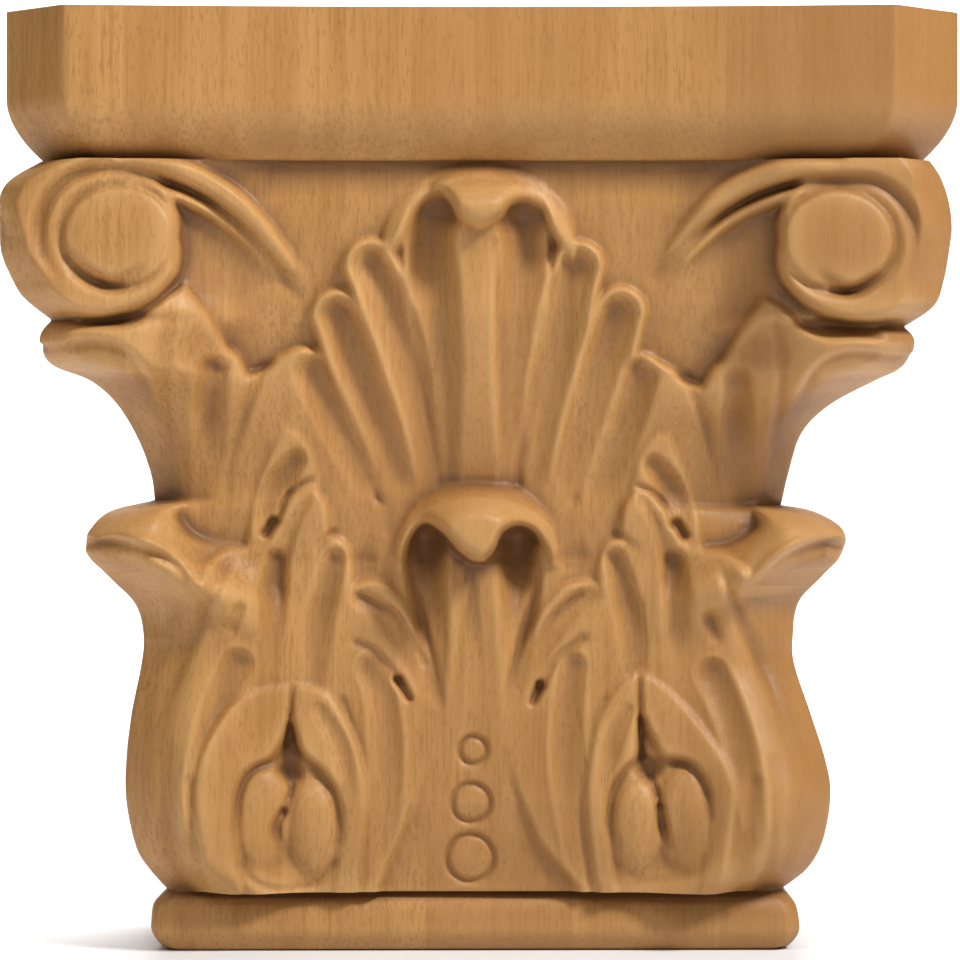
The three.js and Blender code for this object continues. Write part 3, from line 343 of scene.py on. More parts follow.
def carve_round(cut, height, base, column, row):
    """The height after a dome or a turned-over tip is raised."""
    (x, y), (rx, ry) = cut["centre"], cut["radii"]
    near = np.hypot((column - x) / rx, (row - y) / ry)
    if cut["kind"] == "dome":
        swell = base + cut["lift"] - cut["fall"] * (1 - np.sqrt(np.clip(1 - near * near, 0, 1)))
        return np.where(near < 1, np.maximum(height, swell), height)
    over = np.interp(column, cut["lip"][:, 0], cut["lip"][:, 1]) - row
    full = mix(cut["edge"], cut["crown"], smooth(1 - near, 0, HEAD_SPREAD) ** HEAD_FULLNESS)
    turned = full - HEAD_TURN * np.clip(1 - over / HEAD_TURN_ROWS, 0, None) ** 2
    kept = mix(height, np.maximum(height, turned), smooth(over, -LIP_WALL, 0))
    return np.where(near < 1, kept, height)


def carve_leaf(cut, height, base, column, row):
    """The height after a leaf body is raised, lower towards the corner of the capital."""
    distance = nearest(cut["path"], column, row)[0]
    within = np.where(inside(cut["path"], column, row), distance, -distance)
    half = np.where(column < AXIS, half_width("left", row), half_width("right", row))
    body = base + along(cut["lift"], row) * smooth(half - np.abs(column - AXIS), *CORNER_FADE)
    return mix(height, np.maximum(height, body), smooth(within, -LEAF_WALL / 2, LEAF_WALL / 2))


def carve_along(cut, height, base, column, row):
    """The height after a body is raised or a cut is made along a path."""
    distance, share, across = nearest(cut["path"], column, row)
    width = spread(cut["widths"], share)
    q = distance / width
    kind = cut["kind"]
    if kind == "sheet":
        body = base + spread(cut["lift"], share)
        return mix(height, np.maximum(height, body), smooth(1 - q, 0, SHEET_WALL))
    if kind == "gouge":
        return height - spread(cut["depth"], share) * np.clip(1 - q * q, 0, 1)
    if kind == "crease":
        return height - spread(cut["depth"], share) * np.clip(1 - q, 0, 1)
    if kind == "ledge":
        on = np.clip(across * cut["inner"] * cut["toward"] / LEDGE_EDGE, 0, 1)
        return height - spread(cut["depth"], share) * on * np.clip(1 - q, 0, 1) ** LEDGE_HOLLOW
    if kind == "body":
        rounded = ROUNDED_BY * np.clip((q - ROUNDED_FROM) / (1 - ROUNDED_FROM), 0, None) ** 2
        lift = spread(cut["lift"], share) - rounded
        raised = base + lift * smooth(width - distance, -LOBE_WALL / 2, LOBE_WALL / 2)
        return mix(height, np.maximum(height, raised), smooth(share, 0, ROOT_SHARE))
    place = across * cut["inner"] / width
    past = np.sqrt(np.clip(q * q - place * place, 0, None)) / FLUTE_SHARE
    skew = cut["skew"]
    slope = (place - skew) / (FLUTE_SHARE + np.where(place < skew, skew, -skew))
    hollow = np.clip(1 - slope**2 - past**2, 0, 1)
    return height - spread(cut["flute"], share) * hollow * smooth(share, 0, ROOT_SHARE)


RAISED = ("body", "sheet", "leaf")
WORK = {"dome": carve_round, "head": carve_round, "leaf": carve_leaf}


def carve(cuts, height, base, columns, rows):
    """Raises the bodies of a stage, then works each cut into them, only where it reaches."""
    raised = [cut for cut in cuts if cut["kind"] in RAISED]
    cut_in = [cut for cut in cuts if cut["kind"] not in RAISED]
    for cut in raised + cut_in:
        across = np.flatnonzero((columns >= cut["low"][0]) & (columns <= cut["high"][0]))
        down = np.flatnonzero((rows >= cut["low"][1]) & (rows <= cut["high"][1]))
        if not len(across) or not len(down):
            continue
        part = np.ix_(down, across)
        column, row = np.meshgrid(columns[across], rows[down])
        work = WORK.get(cut["kind"], carve_along)
        height[part] = work(cut, height[part], base[part], column, row)
    return height


stage("upper corner leaves")

# Under the volutes: the leaf, the hollow under its lip, its veins and its flutes
leaf([(28, 2.6), (36, 4.4), (48, 5.4), (56, 5.4)], *both([[6, 57], [6, 48], [4, 38], [3, 34.2],
  [8, 32.6], [13, 32.4], [15.6, 30.8], [16.9, 29.4], [18.6, 28.4], [18.6, 28.4], [19.9, 30.1],
  [21.6, 32.7], [22.6, 34.5], [23.6, 35.3], [24.7, 37.3], [24.7, 37.3], [26.8, 36.5], [28, 35.3], [31.3, 35],
  [35, 43], [38, 52], [38, 57]], 1.2))
ledge([1.5, 3.4, 4.4, 4.4, 3.4], [2.4, 4.5, 6.5, 7, 6], -1, *both([[15.8, 39.4], [14.6, 36],
  [13.2, 34.6], [11.6, 33.8], [9.6, 33.5], [7.2, 33.8], [5.2, 34.9]], 1))
ledge([0.4, 1.4, 2.4, 1.6], [1.6, 2.6, 2.6, 0.8], -1, *both([[17.9, 49], [17.7, 41], [17.6, 34.5],
  [18.1, 29.9]], 1.6))
gouge([0.3, 1.4, 2.8, 3.4], [1.2, 1.7, 1.9, 1.7], *both([[20.3, 51], [20.8, 45], [21.1, 39.4],
  [21.2, 37]], 1.2))
ledge([0.3, 1.6, 3, 2.4], [1.2, 1.8, 2.2, 1.6], -1, *both([[22.8, 52.4], [23.3, 47.2], [25, 41.4],
  [26.6, 37.1]], 1))

stage("small leaves")

leaf([(42, 5.8), (48, 7.2), (56, 7.4)], *both([[24.4, 56], [25.4, 50], [26.6, 46], [28.2, 42.8],
  [28.2, 42.8], [29.6, 43.1], [31, 45], [31.7, 48], [32, 52], [32, 56]], 0.6))
gouge([0.6, 2.4, 3, 2.4], [0.9, 1.5, 1.7, 1.2], *both([[26, 53.4], [27, 49.8], [28.8, 46.8],
  [29.6, 45.8]], 0.6))

stage("fan")

# The fan of the upper leaf: the flutes meet in soft ridges, with no ground between them
sheet([6, 6, 4.6], [11, 12, 8], [[47.8, 56], [47.8, 44], [47.8, 36]])
sheet([5, 5.4], [5, 4.4], [[37.4, 64], [37.4, 54]], [[58, 64], [58, 54]])
lobe([6, 5.4, 4.6, 3.4], [0.6, 2, 3, 3.6], 0.2, [1.9, 2, 2.2, 2.2], [[37.6, 51], [34.7, 44.4],
  [32.5, 40], [31, 36.9]], [[59, 51.5], [61.6, 45], [63, 41], [64.2, 37.3]])
lobe([6.4, 6, 5.6, 5, 3.8], [0.6, 2.4, 3.8, 4.6, 4.6], 0.2, [1.8, 2.4, 2.8, 2.9, 2.5], [[40.4, 51],
  [38.1, 43.4], [36.2, 38.5], [34.6, 33.8], [33.5, 31.2]], [[56.4, 51], [58.9, 41.4], [60.3, 37],
  [61.2, 34], [62.1, 30.9]])
lobe([6.8, 6.6, 6.2, 5.6, 4], [0.6, 2.4, 3.8, 4.6, 4.6], 0.2, [1.4, 1.8, 2.6, 3, 2.6], [[43, 51],
  [42, 43], [40.1, 34.6], [38, 28.6], [36.9, 26.1]], [[53.2, 51], [54.9, 39.5], [55.9, 34.5], [57, 29],
  [57.8, 26.3]])
lobe([7, 7.4, 7.4, 7, 5], [0], 0, [3.6, 4.2, 5.8, 7.6, 7.4], [[47.8, 52], [47.8, 40], [47.7, 31],
  [47.6, 26], [47.6, 24]])
gouge([1, 2.4, 3.8, 5.2, 8], [1, 1.7, 2.5, 3, 3], [[44.9, 51], [44.1, 38], [43.3, 30], [42.7, 24],
  [43.2, 21]], [[51.3, 51], [51.6, 38.5], [52, 32.6], [52.8, 25], [52.6, 21.6]])
head([47.9, 24.5], [9.7, 8.9], 87, 97.5, [[38.3, 26], [40, 23.6], [41.4, 20.4], [43.5, 18.4], [45, 19.4],
  [46, 21.2], [48, 22.2], [50, 21.1], [51, 19.8], [52.5, 19.2], [54.2, 20.2], [55.2, 22.6], [57.4, 26]])
crease([0.8, 1.4], [0.5], [[50.2, 49], [50.2, 36], [49.5, 23.6]])

stage("lower leaves")

# The leaf body of each side, the hollow under its corner lip, then its lobes from the outer to the inner
sheet([2.5, 4.6, 5.6, 6], [12, 8.6, 7, 7.4], [[47.4, 96], [47.4, 80], [47.4, 70], [47.6, 58]])
leaf([(48, 8.2), (56, 8), (64, 7.4), (80, 7), (96, 6.6)], *both([[12, 96], [8, 84], [8, 70], [10, 60],
  [7, 56], [7.4, 53.6], [12.6, 53], [17.4, 54.6], [20.2, 57.6], [20.2, 57.6], [20.9, 56.4], [22.6, 54.9],
  [24.8, 54.8], [26.4, 54.6], [27.2, 53], [28.6, 50.6], [30.2, 49.2], [31.5, 49.1], [32.7, 50.6],
  [33.1, 53.6], [33.1, 53.6], [34.4, 54.2], [35.1, 56], [35.2, 58.6], [35.2, 58.6], [37, 58],
  [39.2, 58.8], [41.6, 62.6], [43.6, 67], [45, 74], [45, 96]], 0.2))
ledge([2.6, 5.2, 6.6, 6.6, 5], [2.4, 5, 7, 8, 7.5], -1, *both([[20.3, 58.8], [19, 56.6], [17.4, 55.2],
  [15.4, 54.2], [12.6, 53.5], [10.2, 53.4], [8.6, 54]]))
ledge([0.3, 1.8, 3, 3], [1.4, 2.2, 2.6, 2.2], -1, *both([[16, 73.6], [19, 66.6], [21.5, 61.4],
  [23.1, 57.2]], 1.2))
gouge([1.2, 2], [0.7, 0.8], *both([[23.3, 62.8], [24.1, 60.8]], 1))
ledge([0.3, 1.8, 2.8, 2.4], [1.2, 2, 2.2, 1.4], -1, *both([[28.9, 66], [28.9, 58], [29.7, 53.4],
  [31.2, 50.2]]))
gouge([0.3, 2.2, 2.4], [1, 1.5, 1.2], *both([[27.3, 66], [27.2, 60], [27.5, 56]]))
gouge([0.4, 1.6, 2.8, 2.4], [1, 1.5, 1.6, 1.2], *both([[31.4, 70], [31.8, 63], [32.9, 58],
  [33.6, 55.8]]))
crease([1, 1.8], [0.5], *both([[31.6, 54.8], [33.2, 53.2]]))

stage("inner lobes")

lobe([7.6, 8.2, 8.4, 8.4], [0.3, 1.2, 2.6, 3], 0, [1.6, 2, 2.3, 2.3], *both([[19.4, 84], [20.4, 76],
  [22.2, 70], [23.8, 66.4]], 1))
lobe([7, 8, 8.6, 8.4], [0.4, 1.4, 2.8, 3], 0.1, [1.6, 2.1, 2.4, 2], [[38, 90], [38.6, 78], [38.2, 70.4],
  [36.9, 66.8]], [[58.4, 90], [56.8, 78], [56.8, 71.4], [57.3, 66.6]])
lobe([6, 7, 8, 7.6], [0.4, 1.2, 2, 1.6], -0.2, [1, 1.7, 2, 1.5], [[43.4, 70.6], [41.4, 66], [38.6, 61.8],
  [36.4, 59.8]], [[52, 70.6], [53.4, 66], [56, 61.6], [58.8, 59.4]])
crease([0.8, 2, 1.6], [0.5], [[42.4, 66.4], [39.8, 61.6], [37.6, 60.5], [35.8, 59.6]], [[53.6, 64.4],
  [55.4, 61.6], [58.2, 59.4]])
crease([1, 2.4, 1.6], [0.6], [[40, 68.4], [37.6, 65.3], [35.5, 64.3]], [[53.4, 70], [55.4, 66.2],
  [58.4, 63.8]])
gouge([0.6, 1.4, 2, 1], [0.8, 1, 1, 0.6], *both([[35.4, 90], [36, 82], [35.6, 76], [34.2, 70]]))
gouge([0.8, 1.4, 1], [1.2, 1.4, 1], [[22.4, 90], [20.6, 84], [19.2, 78]], [[73.4, 90], [74.8, 84],
  [75.4, 78]])
gouge([0.6, 1, 0.5], [1.2], [[18.8, 90], [16.8, 82], [17, 75]], [[76.4, 90], [76.8, 82], [77.4, 76]])

stage("buds")

# The paired buds in their sheath: the two leaves of the sheath, the body they close on, and the buds
leaf([(68, 8.4), (76, 9.4), (90, 8)], [[21.4, 92], [19.8, 82], [20, 76.4], [21.7, 72.4], [24.4, 69.4],
  [29.1, 68.4], [29.1, 68.4], [29, 71.8], [28.1, 74.5], [26.9, 76], [25.2, 76.9], [24, 78.8], [23.7, 82],
  [24.2, 92]], [[64, 67.2], [66.4, 68.6], [69.6, 71.8], [72.8, 76.6], [73.3, 81], [71.4, 92], [69.6, 92],
  [70.9, 81], [70.4, 78.3], [68.6, 76.2], [66.2, 75.8], [64.6, 75.2], [64.1, 71]])
leaf([(68, 8.4), (76, 9.4), (90, 8)], [[29.2, 68.4], [32.4, 69.2], [34.8, 72.4], [36.4, 77], [36.6, 82],
  [35, 92], [33, 92], [34, 83], [33.4, 79.2], [31.9, 77], [30, 75], [29.3, 71.8]], [[63.8, 67.2],
  [61.2, 69.4], [59.4, 73], [58.6, 78], [58.8, 83], [60.4, 92], [62, 92], [60.9, 83], [61.2, 79],
  [62.6, 76.8], [63.8, 75.4], [63.9, 71]])
sheet([6.6, 7.8, 7.2], [4.8, 5, 4.4], [[28.9, 92], [28.9, 86], [28.9, 82]], [[66.2, 92], [66.2, 86],
  [66.2, 82]])
gouge([3.4, 2.6], [1.7, 0.5], [[28.9, 77], [29, 72.6]], [[64.9, 76.6], [64.2, 72]])
gouge([0.3, 1.8, 1.2], [0.8, 1.3, 0.8], [[35, 80], [34, 74.6], [32, 71]], [[60.2, 80], [61.2, 74.6],
  [62.8, 71]])
dome(10.4, [26.5, 81.6], [2.7, 5.2], 3.4)
dome(10.2, [31.2, 82.8], [2.7, 4.8], 3.4)
dome(10.4, [68.4, 81.8], [2.7, 5.2], 3.4)
dome(10.2, [63.7, 82.6], [2.7, 4.8], 3.4)
crease([1.4, 2.4, 1.6, 0.6], [0.6], [[28.6, 73.8], [27.2, 75.9], [25.2, 76.9], [24, 78.8], [23.7, 82.4]],
  [[64.8, 73.4], [66.2, 75.7], [68.8, 76.3], [70.4, 78.3], [70.9, 81.6]])
crease([1.4, 2.4, 1.6, 0.6], [0.6], [[29.1, 73.4], [29.9, 75.3], [32, 77.1], [33.6, 79.4], [34, 83.4],
  [33.2, 84.4]], [[64.2, 75.6], [62.4, 77], [61.1, 79.2], [60.9, 82], [61.7, 84.4]])
crease([0.8, 1.6, 0.8], [0.6], [[24.6, 89.4], [24, 86], [25.7, 88], [28.5, 88.8], [31.4, 88.2],
  [33.5, 86]])

stage("lower head")

# The lower central leaf and its head
lobe([7, 8.4, 8.4, 7], [0], 0, [3.4, 3.4, 5, 7], [[47.4, 76], [47.4, 66], [47.5, 60], [47.6, 55.4]])
gouge([0.5, 2.4, 4.8, 8], [0.9, 1.8, 2.2, 2.4], [[43.8, 70], [43.2, 64], [42.6, 58.4], [42.4, 54]],
  [[51.4, 70], [51.8, 63], [52, 58], [51.8, 54]])
head([47.7, 55], [8, 7.2], 74, 90, [[39.8, 57.6], [40.8, 54], [42.4, 52], [44.4, 53], [46, 54.8],
  [48, 55.9], [49.4, 54.6], [50.4, 52.8], [52, 52.2], [53.6, 53], [54.8, 55], [55.6, 57.6]])

# The stem of the lower leaf, which flares to the bead: its two edges and its height, row by row
STEM_LEFT = [(56, 45.6), (64, 45.5), (70, 44.6), (74, 43), (79, 41.5), (83, 40), (88.6, 37.6)]
STEM_RIGHT = [(56, 49.3), (62, 49.5), (70, 50), (75, 50.8), (79, 52), (84, 54), (88.6, 58)]
STEM_LIFT = [(56, 8), (70, 8), (78, 6), (89.1, 4)]
STEM_ROW = 56


def stem(height, base, column, row):
    """The height after the stem is raised between its edges."""
    within = np.minimum(column - along(STEM_LEFT, row), along(STEM_RIGHT, row) - column)
    weight = np.clip(within / WALL, 0, 1) * (row > STEM_ROW)
    return mix(height, base + along(STEM_LIFT, row), weight)


# Three rings cut into the stem, one above the other: column, row and radius
RINGS = [(47.3, 75, 1.35), (47.1, 80.2, 1.9), (47, 85.7, 2.35)]
RING_WIDTH = 0.4
RING_DEPTH = 1.2


def rings(height, column, row):
    """The height after the rings are cut."""
    for x, y, radius in RINGS:
        off = np.abs(np.hypot(column - x, row - y) - radius) / RING_WIDTH
        height = height - RING_DEPTH * np.clip(1 - off * off, 0, 1)
    return height


# The volutes: the middle of each eye, and how far the scroll reaches from it at every eighth of a turn,
# from the axis side downwards
SCROLL = {"left": (12.3, 23.4), "right": (83.4, 23.8)}
SCROLL_REACH = [5.9, 7, 8.1, 10.2, 14, 13, 8.2, 6.8, 5.9]
EYE = (5.5, 5)
EYE_RISE = 1.4
EYE_SUNK = 0.2
CHANNEL = 2
CHANNEL_REACH = 1.3
SCROLL_FALL = 1.2


def scroll(height, side, column, row, volute):
    """The height after a volute is raised, with its button eye and the channel round it."""
    x, y = SCROLL[side]
    across = (x - column) * SIGN[side]
    down = row - y
    far = np.hypot(across, down)
    turn = (np.arctan2(down, across) / (2 * np.pi) + 1) % 1
    reach = spread(SCROLL_REACH, turn)
    eye = np.hypot(across / EYE[0], down / EYE[1])
    button = EYE_RISE * np.sqrt(np.clip(1 - eye * eye, 0, 1)) - EYE_SUNK
    groove = -CHANNEL * (1 - smooth(eye, 1, CHANNEL_REACH))
    fall = SCROLL_FALL * np.clip(far - reach + 1, 0, None) ** 2
    face = volute - fall + np.where(eye < 1, button, groove)
    return mix(height, np.maximum(height, face), np.clip((reach - far) / WALL, 0, 1))


stage("stems")

# The stem of each volute: its outer band and the finer one inside it
lobe([1.5, 4, 5.5, 6, 4.5], [0], 0, [0.7, 1, 1.25, 1.2, 1], [[30.4, 28.6], [27.8, 24.8], [23.4, 19.8],
  [18.5, 17], [13, 16.2]], [[65.6, 27.4], [68.4, 23.6], [72.2, 19.4], [77.6, 17], [83.4, 16.5]])
lobe([1, 3, 4.5, 5, 4], [0], 0, [0.5, 0.6, 0.7, 0.7, 0.5], [[28.8, 28.8], [25.6, 24.4], [21.8, 21],
  [17.6, 19], [13, 18]], [[66.8, 28], [69.8, 24.2], [73.6, 21], [78.2, 19.2], [83, 18.4]])

stage("scrolls")

# The groove of the scroll, the cut under its eye and the cut under the whole volute
crease([0.8, 2.6, 3.2, 3.2, 3.2, 2.8, 1], [1.1], [[29.4, 29], [27, 25.8], [24, 22.3], [20.5, 19.5],
  [16.5, 17.6], [12, 16.6], [8, 17.2], [5.6, 19.2], [4.5, 22], [4.7, 24.8], [6, 27.2]], [[65.4, 27.6],
  [68, 24.4], [73, 20.6], [78, 18.3], [82, 17.8], [87, 18], [90, 20.4], [91.2, 24], [90.8, 27]])
crease([0.8, 3.6, 0.8], [1], [[7.4, 25.6], [9.4, 27.5], [11.8, 28.3], [14.4, 27]], [[81.8, 27.6],
  [83.4, 28.7], [85.2, 28.9], [87.2, 27.6]])
crease([1, 2, 1.6], [0.8], [[5.6, 30.7], [12, 31.5], [17.4, 28]], [[89.6, 31.4], [83, 32], [78.4, 28.8]])

stage("finish")

# The eyes drilled between lobes, the undercuts beside them and the seams of the bud motif
gouge([2.6, 3], [0.7, 0.75], *both([[26.6, 53.3], [27.3, 52.2]], 0.2))
crease([1.6, 2.4, 1.2], [0.5], *both([[27.8, 52], [28.4, 50], [29.6, 48.6], [31.2, 47.9]], 0.6))
gouge([2.8, 2], [0.7, 0.5], [[39.8, 68], [40.9, 69.8]], [[54, 68.6], [53.3, 70.2]])
gouge([0.4, 1.4, 0.4], [1.2, 1.6, 1.2], [[36.4, 57.6], [36.4, 56], [36.4, 54.4]], [[57.4, 57.4],
  [57.5, 55.6], [57.6, 53.6]])
crease([1.2, 1.8, 0.8], [0.45], [[28.5, 74.4], [29, 71], [29.2, 68.6]], [[64.2, 75.6], [64, 71],
  [63.9, 67.4]])
crease([1.2, 1.6], [0.5], [[28.2, 81.2], [29.2, 78.6]], [[66.1, 80.4], [65.1, 77.6]])
gouge([1.6, 2.2, 0.6], [0.6, 0.75, 0.5], [[28.3, 81], [27.6, 82.6], [28.1, 84.7]], [[66, 80.6],
  [66.3, 82.4], [66.8, 84.4]])

LEAF_STAGES = (
    "upper corner leaves", "small leaves", "fan", "lower leaves", "inner lobes", "buds", "lower head",
)

# How far sanding spreads each height, in millimetres, before and after the finishing cuts
SOFTENING = 0.5
LAST_SOFTENING = 0.3


def softened(height, step, spread_mm):
    """The heights after sanding: each one averaged with those around it, by a bell curve."""
    reach = max(1, int(3 * spread_mm / step))
    taps = np.exp(-0.5 * (np.arange(-reach, reach + 1) * step / spread_mm) ** 2)
    taps /= taps.sum()
    for axis in (0, 1):
        pad = [(reach, reach) if n == axis else (0, 0) for n in (0, 1)]
        wide = np.pad(height, pad, mode="edge")
        count = height.shape[axis]
        height = sum(tap * np.take(wide, range(k, k + count), axis) for k, tap in enumerate(taps))
    return height


def relief(columns, rows, face, step):
    """Heights above the back plane, in millimetres, for each row and column of the drawing."""
    column, row = np.meshgrid(columns, rows)
    out = np.abs(column - AXIS)
    left = column < AXIS
    base = np.where(left, base_height("left", out, row, face), base_height("right", out, row, face))
    height = carve(carving["stems"], base.copy(), base, columns, rows)
    left_scroll = scroll(height, "left", column, row, face)
    height = np.where(left, left_scroll, scroll(height, "right", column, row, face))
    height = carve(carving["scrolls"], height, base, columns, rows)
    for name in LEAF_STAGES:
        height = carve(carving[name], height, base, columns, rows)
    height = softened(stem(height, base, column, row), step, SOFTENING)
    height = rings(height, column, row)
    height = softened(carve(carving["finish"], height, base, columns, rows), step, LAST_SOFTENING)
    hollow = ABACUS_HOLLOW * (1 - np.clip(out / HOLLOW_REACH, 0, 1) ** 2)
    abacus = DEPTH - hollow - abacus_drop(row)
    share = (column - BEAD_FROM) / (BEAD_TO - BEAD_FROM)
    bead = mix(half_width("left", row), half_width("right", row), share) * SQUARE - RETURN
    height = np.where(row > BEAD_ROW, bead, height)
    return np.where(row < NECK_ROW, abacus, height)


# How far apart the surface points lie, in millimetres, before the mesh is thinned
STEP = 0.45
SIDE_STEP = 0.9
MARGIN = 4
BACK = DEPTH / 2
MOST_TRIANGLES = 190000


def front_lines():
    """Columns and rows of the drawing, in squares, where the front is worked out."""
    count = round((WIDTH + 2 * MARGIN) / STEP)
    columns = AXIS + np.linspace(-WIDTH / 2 - MARGIN, WIDTH / 2 + MARGIN, count + 1) / SQUARE
    rows = np.linspace(0, SQUARES, round(HEIGHT / STEP) + 1)
    return columns, rows


# How far the edge between two surfaces is rounded, in millimetres
ARRIS = 0.9


def soft_least(a, b):
    """The lesser of two, with the edge between them rounded."""
    near = np.clip(ARRIS - np.abs(a - b), 0, None) / ARRIS
    return np.minimum(a, b) - near * near * ARRIS / 4


def side_reach(side, depths, rows):
    """How far out a side stands at each row and depth: the half front repeated round the corner."""
    columns = AXIS + SIGN[side] * (depths + RETURN) / SQUARE
    half = half_width(side, rows)[:, None] * SQUARE
    step = depths[1] - depths[0]
    reach = np.minimum(half, RETURN + relief(columns, rows, SIDE_FACE, step))
    return np.where(rows[:, None] < NECK_ROW, half, reach)


def cant_reach(side, rows):
    """What the canted corner bounds: the distance from the axis plus the depth."""
    cant = np.where(rows < NECK_ROW, ABACUS_CANT[side], along(CANT, rows))
    return 2 * half_width(side, rows) * SQUARE - RETURN - cant


# How many times finer than the steps of the side a corner is looked for
FINER = 4


def corner_depth(side, x_line, front, reach, depths, row_number, bound):
    """The depth at which the front and the side meet at a row."""
    d = np.linspace(DEPTH, 0, FINER * len(depths))
    ahead = np.interp(SIGN[side] * (d + RETURN), x_line, front[row_number])
    beside = np.interp(d, depths, reach[row_number]) - RETURN
    within = np.minimum(np.minimum(ahead, beside), (bound - RETURN) / 2) - d
    first = int(np.argmax(within >= 0))
    if first == 0:
        return d[0]
    before, after = within[first - 1], within[first]
    return mix(d[first - 1], d[first], -before / (after - before))


# How far round a place its surroundings are taken, the least and most that counts, and the share of
# the far ones
NEAR = 1.8
NEAR_RANGE = (-1, 3)
FAR = 5
FAR_RANGE = (-3, 6)
FAR_SHARE = 0.35


def hollow_map(height, step):
    """How deep a place lies under its surroundings, near and far, in millimetres."""
    near = softened(height, step, NEAR) - height
    far = softened(height, step, FAR) - height
    return np.clip(near, *NEAR_RANGE) + FAR_SHARE * np.clip(far, *FAR_RANGE)


def sampled(grid, across_line, down_line, across, down):
    """The grid's value at scattered places, between its lines."""
    i = np.clip(np.searchsorted(across_line, across) - 1, 0, len(across_line) - 2)
    j = np.clip(np.searchsorted(down_line, down) - 1, 0, len(down_line) - 2)
    s = np.clip((across - across_line[i]) / (across_line[i + 1] - across_line[i]), 0, 1)
    t = np.clip((down - down_line[j]) / (down_line[j + 1] - down_line[j]), 0, 1)
    upper = mix(grid[j, i], grid[j, i + 1], s)
    lower = mix(grid[j + 1, i], grid[j + 1, i + 1], s)
    return mix(upper, lower, t)


def surface():
    """The points of the carved surface, row by row, and its hollows.

    Each row runs from one back edge along the left side, the front and the right side to the other.
    """
    columns, rows = front_lines()
    x_line = (columns - AXIS) * SQUARE
    front = relief(columns, rows, FRONT_FACE, STEP)
    depths = np.linspace(0, DEPTH, round(DEPTH / SIDE_STEP) + 1)
    sides = {side: side_reach(side, depths, rows) for side in SIGN}
    bounds = {side: cant_reach(side, rows) for side in SIGN}
    rings_of_points = []
    for n in range(len(rows)):
        meet = {}
        for side in SIGN:
            meet[side] = corner_depth(side, x_line, front, sides[side], depths, n, bounds[side][n])
        line = []
        for side in SIGN:
            d = np.minimum(depths, meet[side])
            x = soft_least(np.interp(d, depths, sides[side][n]), bounds[side][n] - d)
            line.append(np.stack([SIGN[side] * x, d], 1))
        x = np.clip(x_line, -meet["left"] - RETURN, meet["right"] + RETURN)
        bound = np.where(x < 0, bounds["left"][n], bounds["right"][n]) - np.abs(x)
        d = soft_least(np.interp(x, x_line, front[n]), bound)
        ring = np.concatenate([line[0][:-1], np.stack([x, d], 1), line[1][-2::-1]])
        z = np.full(len(ring), HEIGHT - rows[n] * SQUARE)
        rings_of_points.append(np.stack([ring[:, 0], BACK - ring[:, 1], z], 1))
    hollows = {"front": (hollow_map(front, STEP), x_line)}
    for side in SIGN:
        hollows[side] = (hollow_map(sides[side], SIDE_STEP), depths)
    return np.array(rings_of_points), hollows, rows


# Points nearer than this are one, in millimetres
SAME_PLACE = 0.01


def capital_mesh():
    """The closed mesh of the capital, in millimetres, with the hollows of its surface."""
    points, hollows, rows = surface()
    down, round_count, _ = points.shape
    number = np.arange(down * round_count).reshape(down, round_count)
    a, b = number[:-1, :-1], number[:-1, 1:]
    c, d = number[1:, 1:], number[1:, :-1]
    faces = np.stack([a, d, c, b], -1).reshape(-1, 4).tolist()
    faces += [[int(u), int(v), int(w), int(x)] for u, v, w, x in
              zip(number[:-1, 0], number[:-1, -1], number[1:, -1], number[1:, 0])]
    faces.append(number[0].tolist())
    faces.append(number[-1][::-1].tolist())
    mesh = bpy.data.meshes.new("capital_carving")
    mesh.from_pydata(points.reshape(-1, 3).tolist(), [], faces)
    form = bmesh.new()
    form.from_mesh(mesh)
    bmesh.ops.remove_doubles(form, verts=form.verts, dist=SAME_PLACE)
    form.to_mesh(mesh)
    form.free()
    mesh.validate()
    return mesh, hollows, rows


def thinned(piece):
    """Fewer triangles where the surface is plain."""
    triangles = sum(len(face.vertices) - 2 for face in piece.data.polygons)
    if triangles <= MOST_TRIANGLES:
        return
    thin = piece.modifiers.new("thin", "DECIMATE")
    thin.ratio = MOST_TRIANGLES / triangles
    made = bpy.data.meshes.new_from_object(piece.evaluated_get(bpy.context.evaluated_depsgraph_get()))
    piece.modifiers.clear()
    piece.data = made


# Edges sharper than this stay crisp. The hollows of front and side blend over some millimetres at each
# corner, and the top and the underside, the first and last rows, have none.
SHARP_ANGLE = math.radians(60)
CORNER_BLEND = 3
LEVEL_ROWS = 0.01


# The depths kept here set the painted shade in the hollows, the painted light on proud places, and where the
# gouge marks show.
def mark_hollows(mesh, hollows, rows):
    """Keeps, at each point, how deep it lies under its surroundings."""
    count = len(mesh.vertices)
    place = np.empty(count * 3, np.float32)
    mesh.vertices.foreach_get("co", place)
    x, y, z = place.reshape(-1, 3).T
    row = (HEIGHT - z) / SQUARE
    depth = BACK - y
    grid, line = hollows["front"]
    value = sampled(grid, line, rows, x, row)
    for side in SIGN:
        grid, line = hollows[side]
        beside = sampled(grid, line, rows, depth, row)
        share = smooth(SIGN[side] * x - depth - RETURN, -CORNER_BLEND, CORNER_BLEND)
        value = mix(value, beside, share)
    level = (row < LEVEL_ROWS) | (row > SQUARES - LEVEL_ROWS) | (depth < SAME_PLACE)
    value = np.where(level, 0, value)
    mesh.attributes.new("hollow", "FLOAT", "POINT").data.foreach_set("value", value.astype(np.float32))


# The drawing shows the front from a near point, where what stands further back looks smaller and lower
WIDER = 0.015
WIDER_FROM = 0.3
WIDER_TO = 0.6
RISE = 2.7


